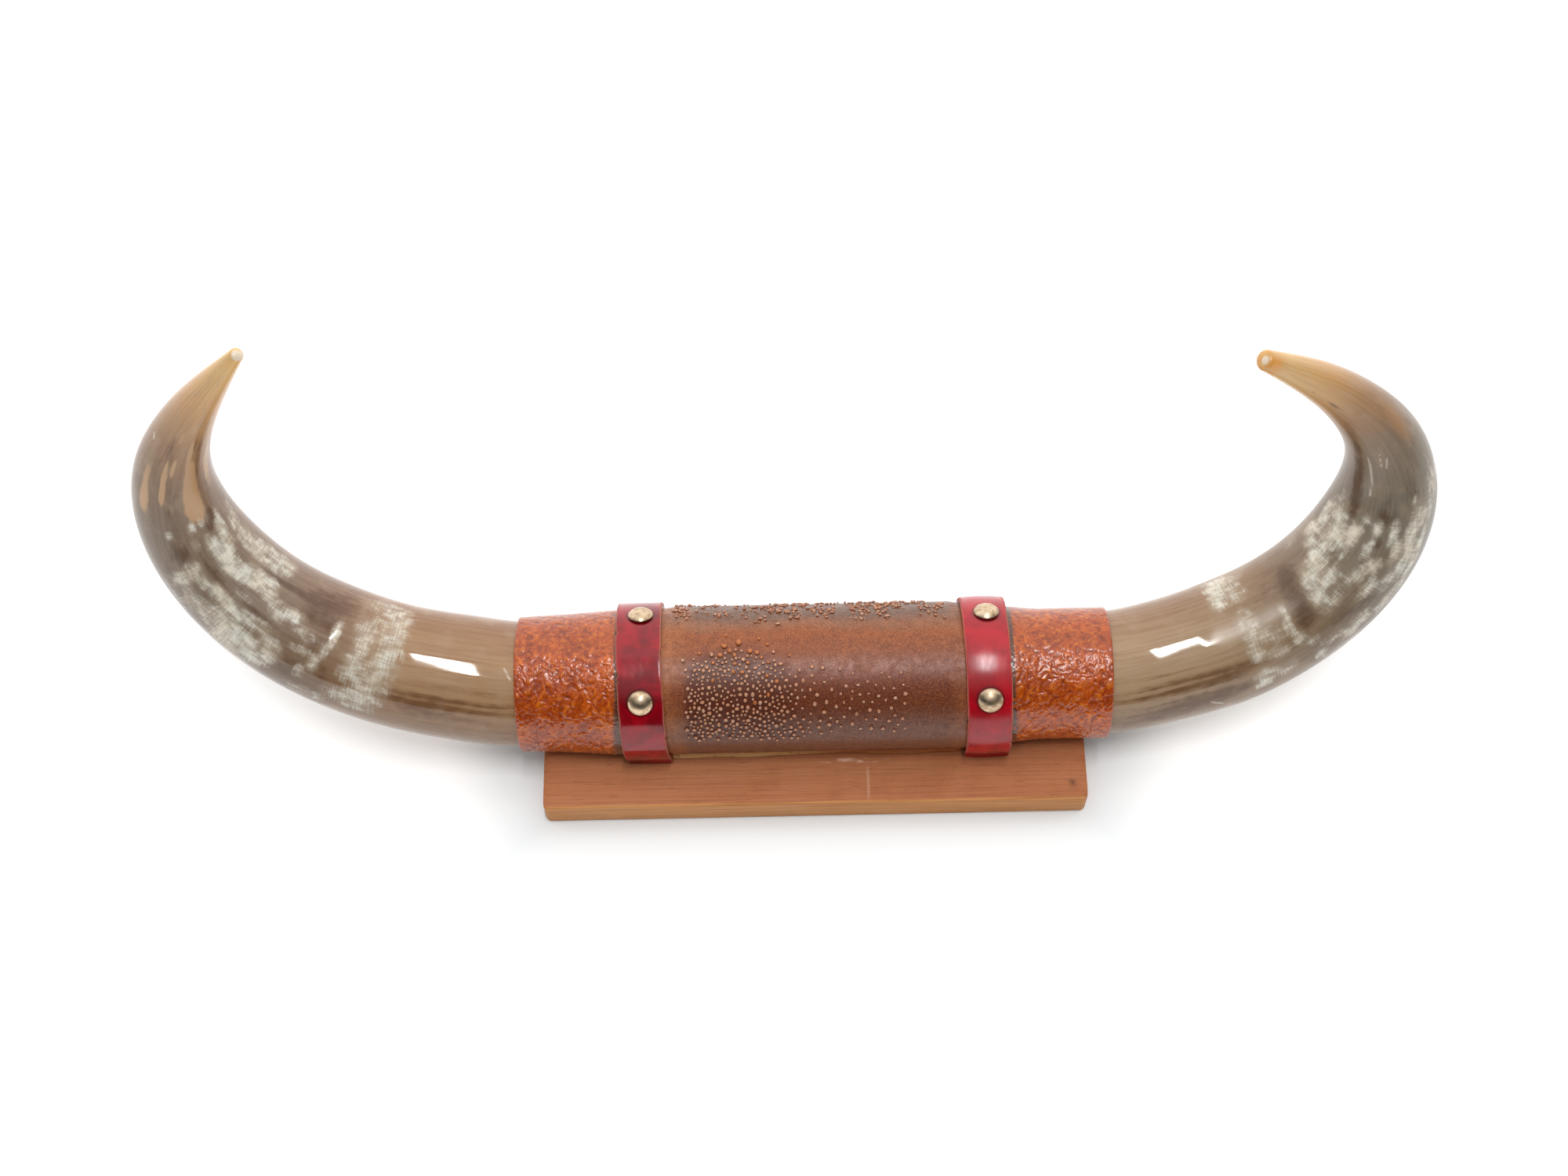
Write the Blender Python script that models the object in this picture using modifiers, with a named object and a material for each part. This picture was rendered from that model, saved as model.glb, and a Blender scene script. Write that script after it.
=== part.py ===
"""Mounted steer horns: two polished horns on a leather-wrapped core, strapped to a wooden board.

Metres, +Z up. The board lies flat with the middle of its underside at the origin. The core's axis
runs along X. The horns leave it sideways, sweep back towards +Y and then rise towards +Z.
"""
import math

import bmesh
import bpy
import numpy as np
from mathutils import Matrix, Vector

MM = 0.001
GAP = 0.3 * MM  # clearance between pieces that touch

# The board, and where the core's axis runs above it
BOARD_LENGTH = 277 * MM
BOARD_WIDTH = 102 * MM
BOARD_THICK = 19 * MM
BOARD_EASE = 1.6 * MM
AXIS_FORWARD_OF_REAR = 42 * MM
AXIS_ABOVE_BOARD = 21 * MM
AXIS = Vector((0, BOARD_WIDTH / 2 - AXIS_FORWARD_OF_REAR, BOARD_THICK + AXIS_ABOVE_BOARD))
SEAT = BOARD_THICK + GAP  # lowest level of what sits on the board

# The core and the leather round it
CORE_END = BOARD_LENGTH / 2 + 0.7 * MM
CORE_RADIUS = 34 * MM
WRAP_HALF = 101 * MM
WRAP_INNER = CORE_RADIUS + GAP
WRAP_OUTER = 37.2 * MM
STRAP_WIDTH = 22.2 * MM
STRAP_THICK = 2.9 * MM
STRAP_INNER = WRAP_OUTER + GAP
STRAP_OUTER = STRAP_INNER + STRAP_THICK
STRAP_CENTRE = {"left": -86 * MM, "right": 87 * MM}
COLLAR_START = WRAP_HALF + GAP
COLLAR_END = 149 * MM

# Collar leather: distance from the middle along the core, and outer radius there, in millimetres
COLLAR_OUTSIDE = {
    "left": [(101.3, 36.9), (110, 36.2), (125, 35.2), (149, 34.4)],
    "right": [(101.3, 34.7), (108, 33.9), (115, 33.4), (149, 33.5)],
}
CORE_TAPER = {"left": (33.3 * MM, 31.7 * MM), "right": (31.6 * MM, 31.1 * MM)}  # at the collar, at the end

# The nail heads
STUD_DIAMETER = 12.7 * MM
STUD_HEIGHT = 3.6 * MM
STUD_RIM = 0.6 * MM
# Angle of each nail round the core, measured up from its front
STUD_ANGLE = {
    ("left", "lower"): 51,
    ("left", "upper"): 121,
    ("right", "lower"): 48,
    ("right", "upper"): 117,
}

# The horns: points down the middle of each one from its base, with the radius there, in millimetres
# from the core's axis at the middle of the board
HORN_LINE = {
    "left": [
        (-139.6, 0, 0, 32),
        (-151.9, 0, 0.6, 32.2),
        (-174.7, 2.1, 3.5, 32.4),
        (-208.8, 7.2, 9, 31.9),
        (-241, 16.8, 15.8, 31.4),
        (-271.3, 30.1, 27.4, 29.9),
        (-294.2, 45.6, 44.9, 27.9),
        (-307.1, 59, 68.3, 24.9),
        (-309.6, 69.4, 95.2, 20.7),
        (-300.6, 75.3, 125.7, 15.4),
        (-282.7, 77.2, 159.2, 10),
        (-257.2, 75.6, 199.6, 3.5),
    ],
    "right": [
        (139.6, 0, 0, 31.4),
        (152, 0.4, 0.2, 31.5),
        (178, 4.6, 2.4, 31.7),
        (209.2, 12.9, 5.7, 32.3),
        (237.8, 24.1, 12.7, 31.5),
        (263.4, 38.7, 26, 30.5),
        (279.9, 53.8, 44.5, 29),
        (286.4, 67.3, 66, 25.5),
        (281.9, 77.8, 91.1, 20),
        (264.9, 82.8, 118.6, 14.5),
        (239.4, 81.3, 148.1, 10),
        (207.8, 74.4, 179.6, 5),
    ],
}
TIP_ROUND = {"left": 2.6 * MM, "right": 3.2 * MM}  # length of the rounded end past the last point
HORN_RINGS = 34
TIP_RINGS = 4
HORN_BEVEL_RESOLUTION = 10  # 24 sides
RING_STEPS = 48
STUD_STEPS = 24

SIDES = {"left": -1, "right": 1}


def clear_scene():
    for obj in list(bpy.data.objects):
        bpy.data.objects.remove(obj, do_unlink=True)


def collection(name):
    made = bpy.data.collections.new(name)
    bpy.context.scene.collection.children.link(made)
    return made


def material(name, colour, roughness, metallic=0.0):
    made = bpy.data.materials.new(name)
    made.use_nodes = True
    shader = made.node_tree.nodes["Principled BSDF"]
    shader.inputs["Base Color"].default_value = (*colour, 1.0)
    shader.inputs["Roughness"].default_value = roughness
    shader.inputs["Metallic"].default_value = metallic
    return made


def add(name, data, surface, parts):
    obj = bpy.data.objects.new(name, data)
    obj.data.materials.append(surface)
    parts.objects.link(obj)
    return obj


def smooth_line(points, start, count):
    """Cubic spline through the points that leaves the first one in the start direction.

    It is read at count even steps of its chord length.
    """
    points = np.array(points, dtype=float)
    steps = np.linalg.norm(np.diff(points[:, :3], axis=0), axis=1)
    knots = np.concatenate([[0.0], np.cumsum(steps)])
    size = len(points)
    system = np.eye(size)
    target = np.zeros_like(points)
    system[0, :2] = 2 * steps[0], steps[0]
    target[0] = 6 * ((points[1] - points[0]) / steps[0] - np.array(start))
    for i in range(1, size - 1):
        before, after = steps[i - 1], steps[i]
        system[i, i - 1 : i + 2] = before, 2 * (before + after), after
        rise = (points[i + 1] - points[i]) / after
        target[i] = 6 * (rise - (points[i] - points[i - 1]) / before)
    bend = np.linalg.solve(system, target)
    read = np.linspace(0, knots[-1], count)
    index = np.clip(np.searchsorted(knots, read, side="right") - 1, 0, size - 2)
    span = steps[index][:, None]
    b = ((read - knots[index])[:, None]) / span
    a = 1 - b
    curve = a * points[index] + b * points[index + 1]
    curve += ((a**3 - a) * bend[index] + (b**3 - b) * bend[index + 1]) * span**2 / 6
    return curve


def cutter_box(name, low, high, cutters):
    """A box used only to cut others, drawn as wires and left out of renders."""
    mesh = bpy.data.meshes.new(name)
    bm = bmesh.new()
    bmesh.ops.create_cube(bm, size=1.0)
    low, high = Vector(low), Vector(high)
    place = Matrix.Translation((low + high) / 2) @ Matrix.Diagonal((*(high - low), 1))
    bmesh.ops.transform(bm, matrix=place, verts=bm.verts)
    bm.to_mesh(mesh)
    bm.free()
    obj = bpy.data.objects.new(name, mesh)
    obj.display_type = "WIRE"
    obj.hide_render = True
    cutters.objects.link(obj)
    return obj


def turned(name, profile, steps, surface, parts, closed):
    """Turn a profile of (distance along, radius) pairs round the local Z axis."""
    mesh = bpy.data.meshes.new(name)
    count = len(profile)
    edges = [(i, i + 1) for i in range(count - 1)] + ([(count - 1, 0)] if closed else [])
    mesh.from_pydata([(radius, 0, along) for along, radius in profile], edges, [])
    obj = add(name, mesh, surface, parts)
    screw = obj.modifiers.new("turn", "SCREW")
    screw.steps = screw.render_steps = steps
    screw.use_merge_vertices = True
    screw.merge_threshold = 0.00001
    screw.use_normal_calculate = True
    return obj


def lay_along_core(obj):
    """Bring the local Z axis of a turned piece onto the core's axis."""
    obj.location = AXIS
    obj.rotation_euler = (0, math.pi / 2, 0)


def cut(obj, cutter):
    boolean = obj.modifiers.new("cut", "BOOLEAN")
    boolean.operation = "DIFFERENCE"
    boolean.solver = "EXACT"
    boolean.object = cutter


def make_board(surface, parts):
    mesh = bpy.data.meshes.new("board")
    bm = bmesh.new()
    bmesh.ops.create_cube(bm, size=1.0)
    size = Matrix.Diagonal((BOARD_LENGTH, BOARD_WIDTH, BOARD_THICK, 1))
    bmesh.ops.transform(bm, matrix=Matrix.Translation((0, 0, BOARD_THICK / 2)) @ size, verts=bm.verts)
    bm.to_mesh(mesh)
    bm.free()
    obj = add("board", mesh, surface, parts)
    ease = obj.modifiers.new("eased edges", "BEVEL")
    ease.width = BOARD_EASE
    ease.segments = 3


def make_core(surface, bench, parts):
    """Round block between the horns, planed flat underneath; its taper lets the collars lie flush."""
    bevel = 1.5 * MM
    left, right = CORE_TAPER["left"], CORE_TAPER["right"]
    shoulder = 88 * MM
    profile = [
        (-CORE_END, 0),
        (-CORE_END, left[1] - bevel),
        (-CORE_END + bevel, left[1]),
        (-COLLAR_START, left[0]),
        (-shoulder, CORE_RADIUS),
        (shoulder, CORE_RADIUS),
        (COLLAR_START, right[0]),
        (CORE_END - bevel, right[1]),
        (CORE_END, right[1] - bevel),
        (CORE_END, 0),
    ]
    obj = turned("core", profile, RING_STEPS, surface, parts, closed=False)
    lay_along_core(obj)
    cut(obj, bench)


def band_profile(start, end, inner, outer, ease):
    """Section of a straight leather band, its outer corners eased."""
    return [
        (start, inner),
        (end, inner),
        (end, outer - ease),
        (end - ease, outer),
        (start + ease, outer),
        (start, outer - ease),
    ]


def make_wrap(surface, bench, parts):
    profile = band_profile(-WRAP_HALF, WRAP_HALF, WRAP_INNER, WRAP_OUTER, 0.8 * MM)
    obj = turned("centre_wrap", profile, RING_STEPS, surface, parts, closed=True)
    lay_along_core(obj)
    cut(obj, bench)


def make_strap(side, surface, bench, parts):
    middle = STRAP_CENTRE[side]
    profile = band_profile(
        middle - STRAP_WIDTH / 2, middle + STRAP_WIDTH / 2, STRAP_INNER, STRAP_OUTER, 0.5 * MM
    )
    obj = turned(f"strap_{side}", profile, RING_STEPS, surface, parts, closed=True)
    lay_along_core(obj)
    cut(obj, bench)


def make_collar(side, surface, clearance, parts):
    """Leather sleeve over the joint of core and horn, notched where it sits on the board."""
    sign = SIDES[side]
    horn_radius = HORN_LINE[side][1][3] * MM
    inside = [
        (COLLAR_START, CORE_TAPER[side][0] + GAP),
        (CORE_END, horn_radius + 2 * GAP),
        (COLLAR_END, horn_radius + 2 * GAP),
    ]
    outside = [(along * MM, radius * MM) for along, radius in COLLAR_OUTSIDE[side]]
    ease = 0.5 * MM
    end_radius = outside[-1][1]
    outside = outside[:-1] + [(COLLAR_END - ease, end_radius), (COLLAR_END, end_radius - ease)]
    profile = [(sign * along, radius) for along, radius in inside + outside[::-1]]
    obj = turned(f"collar_{side}", profile, RING_STEPS, surface, parts, closed=True)
    lay_along_core(obj)
    cut(obj, clearance)


def make_horn(side, surface, parts):
    """A tube whose radius follows the horn's own taper to a rounded tip."""
    outwards = (SIDES[side], 0, 0, 0)
    line = smooth_line(HORN_LINE[side], outwards, HORN_RINGS) * MM
    end, end_radius = line[-1, :3], line[-1, 3]
    heading = line[-1, :3] - line[-2, :3]
    heading /= np.linalg.norm(heading)
    square_base = line[0] + np.array(outwards) * MM
    rings = [tuple(point) for point in (line[0], square_base, *line[1:])]
    for i in range(1, TIP_RINGS + 1):
        turn = 0.94 * math.pi / 2 * i / TIP_RINGS
        point = end + heading * TIP_ROUND[side] * math.sin(turn)
        rings.append((*point, end_radius * math.cos(turn)))
    curve = bpy.data.curves.new(f"horn_{side}", "CURVE")
    curve.dimensions = "3D"
    curve.bevel_depth = MM
    curve.bevel_resolution = HORN_BEVEL_RESOLUTION
    curve.use_fill_caps = True
    curve.twist_mode = "MINIMUM"
    spline = curve.splines.new("POLY")
    spline.points.add(len(rings) - 1)
    for point, (x, y, z, radius) in zip(spline.points, rings):
        point.co = (x, y, z, 1)
        point.radius = radius / MM
    obj = add(f"horn_{side}", curve, surface, parts)
    obj.location = AXIS


def make_stud(side, row, surface, parts):
    """Domed nail head, its flat back just clear of the strap."""
    radius = STUD_DIAMETER / 2
    dome = STUD_HEIGHT - STUD_RIM
    ball = (radius**2 + dome**2) / (2 * dome)
    spread = math.asin(radius / ball)
    profile = [(0, 0), (0, radius)]
    arc_steps = 5
    for i in range(arc_steps + 1):
        turn = spread * (1 - i / arc_steps)
        profile.append((STUD_HEIGHT - ball + ball * math.cos(turn), ball * math.sin(turn)))
    obj = turned(f"stud_{side}_{row}", profile, STUD_STEPS, surface, parts, closed=False)
    angle = math.radians(STUD_ANGLE[side, row])
    outwards = Vector((0, -math.cos(angle), math.sin(angle)))
    obj.location = AXIS + outwards * (STRAP_OUTER + GAP) + Vector((STRAP_CENTRE[side], 0, 0))
    obj.rotation_euler = (math.pi / 2 - angle, 0, 0)


def build():
    clear_scene()
    parts = collection("mounted_steer_horns")
    cutters = collection("cutters")
    wide = 200 * MM
    bench = cutter_box("bench", (-wide, -wide, -wide), (wide, wide, SEAT), cutters)
    reach = BOARD_LENGTH / 2 + GAP
    clearance = cutter_box("board_clearance", (-reach, -wide, -wide), (reach, wide, SEAT), cutters)

    wood = material("board_wood", (0.34, 0.15, 0.075), 0.5)
    hidden_wood = material("core_wood", (0.45, 0.30, 0.18), 0.7)
    brown = material("wrap_leather", (0.20, 0.075, 0.035), 0.35)
    orange = material("collar_leather", (0.46, 0.13, 0.035), 0.35)
    red = material("strap_leather", (0.30, 0.01, 0.02), 0.28)
    nickel = material("stud_nickel", (0.62, 0.58, 0.52), 0.25, metallic=1.0)
    horn = material("horn", (0.42, 0.34, 0.25), 0.2)

    make_board(wood, parts)
    make_core(hidden_wood, bench, parts)
    make_wrap(brown, bench, parts)
    for side in SIDES:
        make_collar(side, orange, clearance, parts)
        make_strap(side, red, bench, parts)
        make_horn(side, horn, parts)
    for side, row in STUD_ANGLE:
        make_stud(side, row, nickel, parts)


build()
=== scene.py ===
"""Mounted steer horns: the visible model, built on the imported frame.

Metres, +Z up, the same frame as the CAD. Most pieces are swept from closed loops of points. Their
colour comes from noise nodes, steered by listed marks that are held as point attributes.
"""
import math

import bmesh
import bpy
import numpy as np
from mathutils import Matrix, Vector


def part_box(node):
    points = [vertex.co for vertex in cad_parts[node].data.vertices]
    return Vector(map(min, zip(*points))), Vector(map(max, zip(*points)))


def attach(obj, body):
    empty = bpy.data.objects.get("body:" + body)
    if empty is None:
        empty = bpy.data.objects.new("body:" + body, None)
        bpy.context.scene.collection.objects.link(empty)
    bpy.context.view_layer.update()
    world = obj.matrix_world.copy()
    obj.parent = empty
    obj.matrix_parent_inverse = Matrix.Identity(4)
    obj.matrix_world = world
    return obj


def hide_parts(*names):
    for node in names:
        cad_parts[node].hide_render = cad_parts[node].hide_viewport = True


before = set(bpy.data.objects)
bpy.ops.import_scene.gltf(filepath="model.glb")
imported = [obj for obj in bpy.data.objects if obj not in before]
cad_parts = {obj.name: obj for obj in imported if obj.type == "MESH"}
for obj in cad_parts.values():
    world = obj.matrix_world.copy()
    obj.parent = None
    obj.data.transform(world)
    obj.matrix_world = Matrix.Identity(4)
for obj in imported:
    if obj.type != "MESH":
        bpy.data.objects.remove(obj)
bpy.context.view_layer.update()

MM = 0.001
SIDES = {"left": -1, "right": 1}


def middle(node, axis):
    low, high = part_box(node)
    return (low[axis] + high[axis]) / 2


def extent(node, axis):
    low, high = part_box(node)
    return high[axis] - low[axis]


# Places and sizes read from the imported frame. The straps are round, so their box gives the axis.
BOARD_LOW, BOARD_HIGH = (np.array(corner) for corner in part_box("board"))
STRAP_OUTER = extent("strap_left", 1) / 2
AXIS = np.array([0.0, middle("strap_left", 1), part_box("strap_left")[1][2] - STRAP_OUTER])
SEAT = float(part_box("centre_wrap")[0][2])  # lowest level of the leather on the board
WRAP_OUTER = extent("centre_wrap", 1) / 2
WRAP_HALF = extent("centre_wrap", 0) / 2
STRAP_WIDTH = extent("strap_left", 0)
STRAP_MIDDLE = {side: middle(f"strap_{side}", 0) for side in SIDES}
COLLAR_START = abs(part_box("collar_right")[0][0])
COLLAR_END = abs(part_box("collar_right")[1][0])
# The thin start of each collar lies under its strap
COLLAR_LIP = STRAP_MIDDLE["right"] + STRAP_WIDTH / 2 - 1.5 * MM
GAP = 0.3 * MM
WRAP_INNER = 34.3 * MM
STRAP_THICK = 2.9 * MM
STRAP_INNER = STRAP_OUTER - STRAP_THICK
STUD_DIAMETER = 12.7 * MM
STUD_HEIGHT = 3.6 * MM

# Collar leather: distance from the middle along the core, and outer radius there, in millimetres
COLLAR_OUTSIDE = {
    "left": [(101.3, 36.9), (110, 36.2), (125, 35.2), (149, 34.4)],
    "right": [(101.3, 34.7), (108, 33.9), (115, 33.4), (149, 33.5)],
}
COLLAR_RELIEF = {"left": 0.5, "right": 0.4}
COLLAR_INSIDE = {"left": (33.6, 32.8), "right": (31.9, 32.1)}
STUD_ANGLE = {
    ("left", "lower"): 51,
    ("left", "upper"): 121,
    ("right", "lower"): 48,
    ("right", "upper"): 117,
}
# Middle line of each horn with its radius, in millimetres from the core's axis, as in the CAD source
HORN_LINE = {
    "left": [
        (-139.6, 0, 0, 32), (-151.9, 0, 0.6, 32.2), (-174.7, 2.1, 3.5, 32.4),
        (-208.8, 7.2, 9, 31.9), (-241, 16.8, 15.8, 31.4), (-271.3, 30.1, 27.4, 29.9),
        (-294.2, 45.6, 44.9, 27.9), (-307.1, 59, 68.3, 24.9), (-309.6, 69.4, 95.2, 20.7),
        (-300.6, 75.3, 125.7, 15.4), (-282.7, 77.2, 159.2, 10), (-257.2, 75.6, 199.6, 3.5),
    ],
    "right": [
        (139.6, 0, 0, 31.4), (152, 0.4, 0.2, 31.5), (178, 4.6, 2.4, 31.7),
        (209.2, 12.9, 5.7, 32.3), (237.8, 24.1, 12.7, 31.5), (263.4, 38.7, 26, 30.5),
        (279.9, 53.8, 44.5, 29), (286.4, 67.3, 66, 25.5), (281.9, 77.8, 91.1, 20),
        (264.9, 82.8, 118.6, 14.5), (239.4, 81.3, 148.1, 10), (207.8, 74.4, 179.6, 5),
    ],
}
TIP_ROUND = {"left": 2.6, "right": 3.2}
# Slight swells and waists near the base: extra slope of the surface at a length from the core end in mm.
# They sit round the angle in HORN_SLOPE_TURN and fade out before the outline.
HORN_SLOPE = {
    "left": [
        (0, 0.022), (28, 0.022), (33, 0.0), (63, 0.0), (68, -0.035), (90, -0.035), (105.5, -0.045),
        (106.5, 0.045), (114, 0.035), (122, 0.015), (130, 0.0),
    ],
    "right": [
        (0, -0.045), (29, -0.045), (34, 0.0), (54, 0.0), (59, 0.045), (84, 0.045), (92, 0.03), (98, 0.0),
    ],
}
HORN_SLOPE_TURN = {"left": 11, "right": -11}

# The camera: a 54 mm lens on a 36 mm frame, 1.2 m from the core's middle, which sits at AIM_PIXEL
IMAGE_SIZE = (2000, 1500)
FOCAL_PIXELS = 3000
CAMERA_DISTANCE = 1.2
CAMERA_ELEVATION = math.radians(64)
CAMERA_ROLL = math.radians(1.15)
AIM_PIXEL = (1037, 865)
VIEW_OUT = np.array([0, -math.cos(CAMERA_ELEVATION), math.sin(CAMERA_ELEVATION)])
VIEW_UP = np.array([0, math.sin(CAMERA_ELEVATION), math.cos(CAMERA_ELEVATION)])
SENSOR_WIDTH = 36


# Noise for moving points

def hash_lattice(cells, salt):
    """A repeatable value from 0 to 1 for each whole-number cell."""
    mixed = cells[..., 0] * 374761393 + cells[..., 1] * 668265263
    mixed = mixed + cells[..., 2] * 2147483647 + salt * 1274126177
    mixed = (mixed ^ (mixed >> 13)) * 1103515245
    mixed = mixed ^ (mixed >> 16)
    return (mixed & 0xFFFFFF) / float(0xFFFFFF)


def noise(points, scale, salt=0):
    """Smooth noise from -1 to 1 at points times scale."""
    place = np.asarray(points) * scale
    cell = np.floor(place).astype(np.int64)
    part = place - cell
    part = part * part * (3 - 2 * part)
    total = 0
    for corner in range(8):
        offset = np.array([corner & 1, corner >> 1 & 1, corner >> 2 & 1])
        weight = np.prod(np.where(offset, part, 1 - part), axis=-1)
        total = total + weight * hash_lattice(cell + offset, salt)
    return 2 * total - 1


def layered(points, scale, layers=3, salt=0):
    total = 0
    for layer in range(layers):
        total = total + noise(points, scale * 2**layer, salt + layer) / 2**layer
    return total / (2 - 2 ** (1 - layers))


def creases(points, scale, salt=0):
    """Thin valleys along the lines where the noise changes sign, from 0 to 1."""
    folds = 1 - np.abs(layered(points, scale, 2, salt)) * 3.2
    return np.clip(folds, 0, 1)


def smoothstep(value, low, high):
    part = np.clip((value - low) / (high - low), 0, 1)
    return part * part * (3 - 2 * part)


# Meshes

def joined(*parts):
    """Points from their coordinates, which are spread over each other's shape."""
    return np.stack(np.broadcast_arrays(*parts), axis=-1)


def finish_piece(obj, surface, node):
    obj.data.materials.append(surface)
    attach(obj, "root")
    if node:
        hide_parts(node)


def mesh_object(name, points, faces):
    mesh = bpy.data.meshes.new(name)
    mesh.from_pydata(np.asarray(points).reshape(-1, 3).tolist(), [], faces)
    bm = bmesh.new()
    bm.from_mesh(mesh)
    bmesh.ops.recalc_face_normals(bm, faces=bm.faces)
    for face in bm.faces:
        face.smooth = len(face.verts) < 5
    bm.to_mesh(mesh)
    bm.free()
    obj = bpy.data.objects.new(name, mesh)
    bpy.context.scene.collection.objects.link(obj)
    return obj


def grid_faces(rows, columns, around):
    """Quads between rows of points, closed round each row where around is true."""
    wide = columns if around else columns - 1
    row, column = np.meshgrid(np.arange(rows - 1), np.arange(wide), indexing="ij")
    start, after = row * columns, (column + 1) % columns
    corners = [start + column, start + after, start + columns + after, start + columns + column]
    return np.stack(corners, axis=-1).reshape(-1, 4).tolist()


def sweep(name, loops):
    """A closed solid through a stack of closed loops, shaped (loops, points, 3)."""
    rows, columns = loops.shape[:2]
    faces = grid_faces(rows, columns, True)
    faces.append(list(range(columns)))
    faces.append(list(range((rows - 1) * columns, rows * columns)))
    return mesh_object(name, loops, faces)


def hold(obj, shape, **held):
    """Keep values for the points, spread over their shape, as attributes that materials can read."""
    for name, values in held.items():
        values = np.broadcast_to(values, shape).astype(np.float32)
        kind, key = ("FLOAT_VECTOR", "vector") if values.ndim == 3 else ("FLOAT", "value")
        attribute = obj.data.attributes.new(name, kind, "POINT")
        attribute.data.foreach_set(key, values.reshape(-1))


def hold_lined(obj, skin, lining, **held):
    """Hold pairs of values, for the outer skin and for the lining, each of the shape of its angles."""
    for name, pair in held.items():
        both = [np.broadcast_to(value, part.shape) for value, part in zip(pair, (skin, lining))]
        values = np.concatenate(both, axis=1)
        hold(obj, values.shape, **{name: values})


def bent_round(along, radius, angle):
    """Points at an angle round the core, measured up from its front; angle in radians."""
    return joined(along, AXIS[1] - radius * np.cos(angle), AXIS[2] + radius * np.sin(angle))


def facing_out(angle):
    """Directions away from the core's axis and onward round it, at an angle round the core."""
    cos, sin = math.cos(angle), math.sin(angle)
    return np.array([0, -cos, sin]), np.array([0, sin, cos])


def foot_angle(radius):
    """Angle at which a round of this radius meets the board, in front of the core."""
    return -np.arcsin((AXIS[2] - SEAT) / radius)


# Node materials

def rgb(red, green, blue):
    """A colour given as on screen, 0 to 255, as linear light."""
    parts = (c / 255 for c in (red, green, blue))
    return tuple(p / 12.92 if p <= 10 / 255 else ((p + 0.055) / 1.055) ** 2.4 for p in parts)


class Nodes:
    """A node tree and short calls that add nodes to it."""

    def __init__(self, tree):
        self.nodes = tree.nodes
        self.links = tree.links

    def feed(self, socket, value):
        if isinstance(value, bpy.types.NodeSocket):
            self.links.new(value, socket)
        elif isinstance(value, tuple) and len(value) == 3 and len(socket.default_value) == 4:
            socket.default_value = (*value, 1)
        else:
            socket.default_value = value

    def add(self, kind, inputs=(), **settings):
        """A new node with its settings; inputs are (socket, value or link) pairs."""
        node = self.nodes.new("ShaderNode" + kind)
        for name, value in settings.items():
            setattr(node, name, value)
        for socket, value in inputs:
            self.feed(node.inputs[socket], value)
        return node

    def place(self):
        return self.add("TexCoord").outputs["Object"]

    def parts(self, vector):
        return self.add("SeparateXYZ", [(0, vector)]).outputs

    def held(self, name, kind="Fac"):
        return self.add("Attribute", attribute_name=name).outputs[kind]

    def noise(self, vector, scale, detail=2.0, rough=0.5, distortion=0.0):
        """Noise at one scale, or at a scale for each axis."""
        if isinstance(scale, tuple):
            vector = self.add("VectorMath", [(0, vector), (1, scale)], operation="MULTIPLY").outputs[0]
            scale = 1.0
        numbers = [("Scale", scale), ("Detail", detail), ("Roughness", rough), ("Distortion", distortion)]
        return self.add("TexNoise", [("Vector", vector), *numbers]).outputs["Fac"]

    def cells(self, vector, scale, feature="F1"):
        inputs = [("Vector", vector), ("Scale", scale)]
        return self.add("TexVoronoi", inputs, feature=feature).outputs["Distance"]

    def math(self, operation, first, second=0.0):
        return self.add("Math", [(0, first), (1, second)], operation=operation).outputs[0]

    def times(self, first, second):
        return self.math("MULTIPLY", first, second)

    def total(self, *weighted):
        """Sum of (value, weight) pairs."""
        result = None
        for value, weight in weighted:
            part = self.times(value, weight)
            result = part if result is None else self.math("ADD", result, part)
        return result

    def step(self, value, low, high, start=0.0, end=1.0):
        sockets = ("Value", "From Min", "From Max", "To Min", "To Max")
        inputs = list(zip(sockets, (value, low, high, start, end)))
        return self.add("MapRange", inputs, interpolation_type="SMOOTHSTEP").outputs["Result"]

    def mix(self, factor, first, second, blend="MIX"):
        inputs = [(0, factor), (6, first), (7, second)]
        return self.add("Mix", inputs, data_type="RGBA", blend_type=blend).outputs[2]

    def paint(self, ground, *coats):
        """Coats over a ground: (mask, span, strength, colour as on screen), and a blend if it isn't MIX.

        A coat comes in as its mask goes from one end of the span to the other, or as the mask itself
        where the span is None.
        """
        for mask, span, strength, colour, *blend in coats:
            factor = self.step(mask, *span, 0, strength) if span else self.times(mask, strength)
            ground = self.mix(factor, ground, rgb(*colour) if isinstance(colour, tuple) else colour, *blend)
        return ground

    def ramp(self, value, stops):
        """Colours as on screen at places along a value."""
        node = self.add("ValToRGB", [(0, value)])
        elements = node.color_ramp.elements
        while len(elements) < len(stops):
            elements.new(0.5)
        for element, (position, colour) in zip(elements, stops):
            element.position = position
            element.color = (*rgb(*colour), 1)
        return node.outputs[0]

    def bump(self, height, strength, distance):
        inputs = [("Strength", strength), ("Distance", distance), ("Height", height)]
        return self.add("Bump", inputs).outputs[0]


class Surface(Nodes):
    """A material's nodes."""

    def __init__(self, name):
        self.material = bpy.data.materials.new(name)
        self.material.use_nodes = True
        super().__init__(self.material.node_tree)

    def finish(self, **inputs):
        """Set the shader's inputs, with _ for each space in their names, and give the material."""
        for name, value in inputs.items():
            self.feed(self.nodes["Principled BSDF"].inputs[name.replace("_", " ")], value)
        return self.material


# Horns

HORN_RINGS = 330
HORN_AROUND = 176
TIP_RINGS = 10
TURN_RADIUS = 32  # radius used to turn angles into a length round the horn, in millimetres
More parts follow.
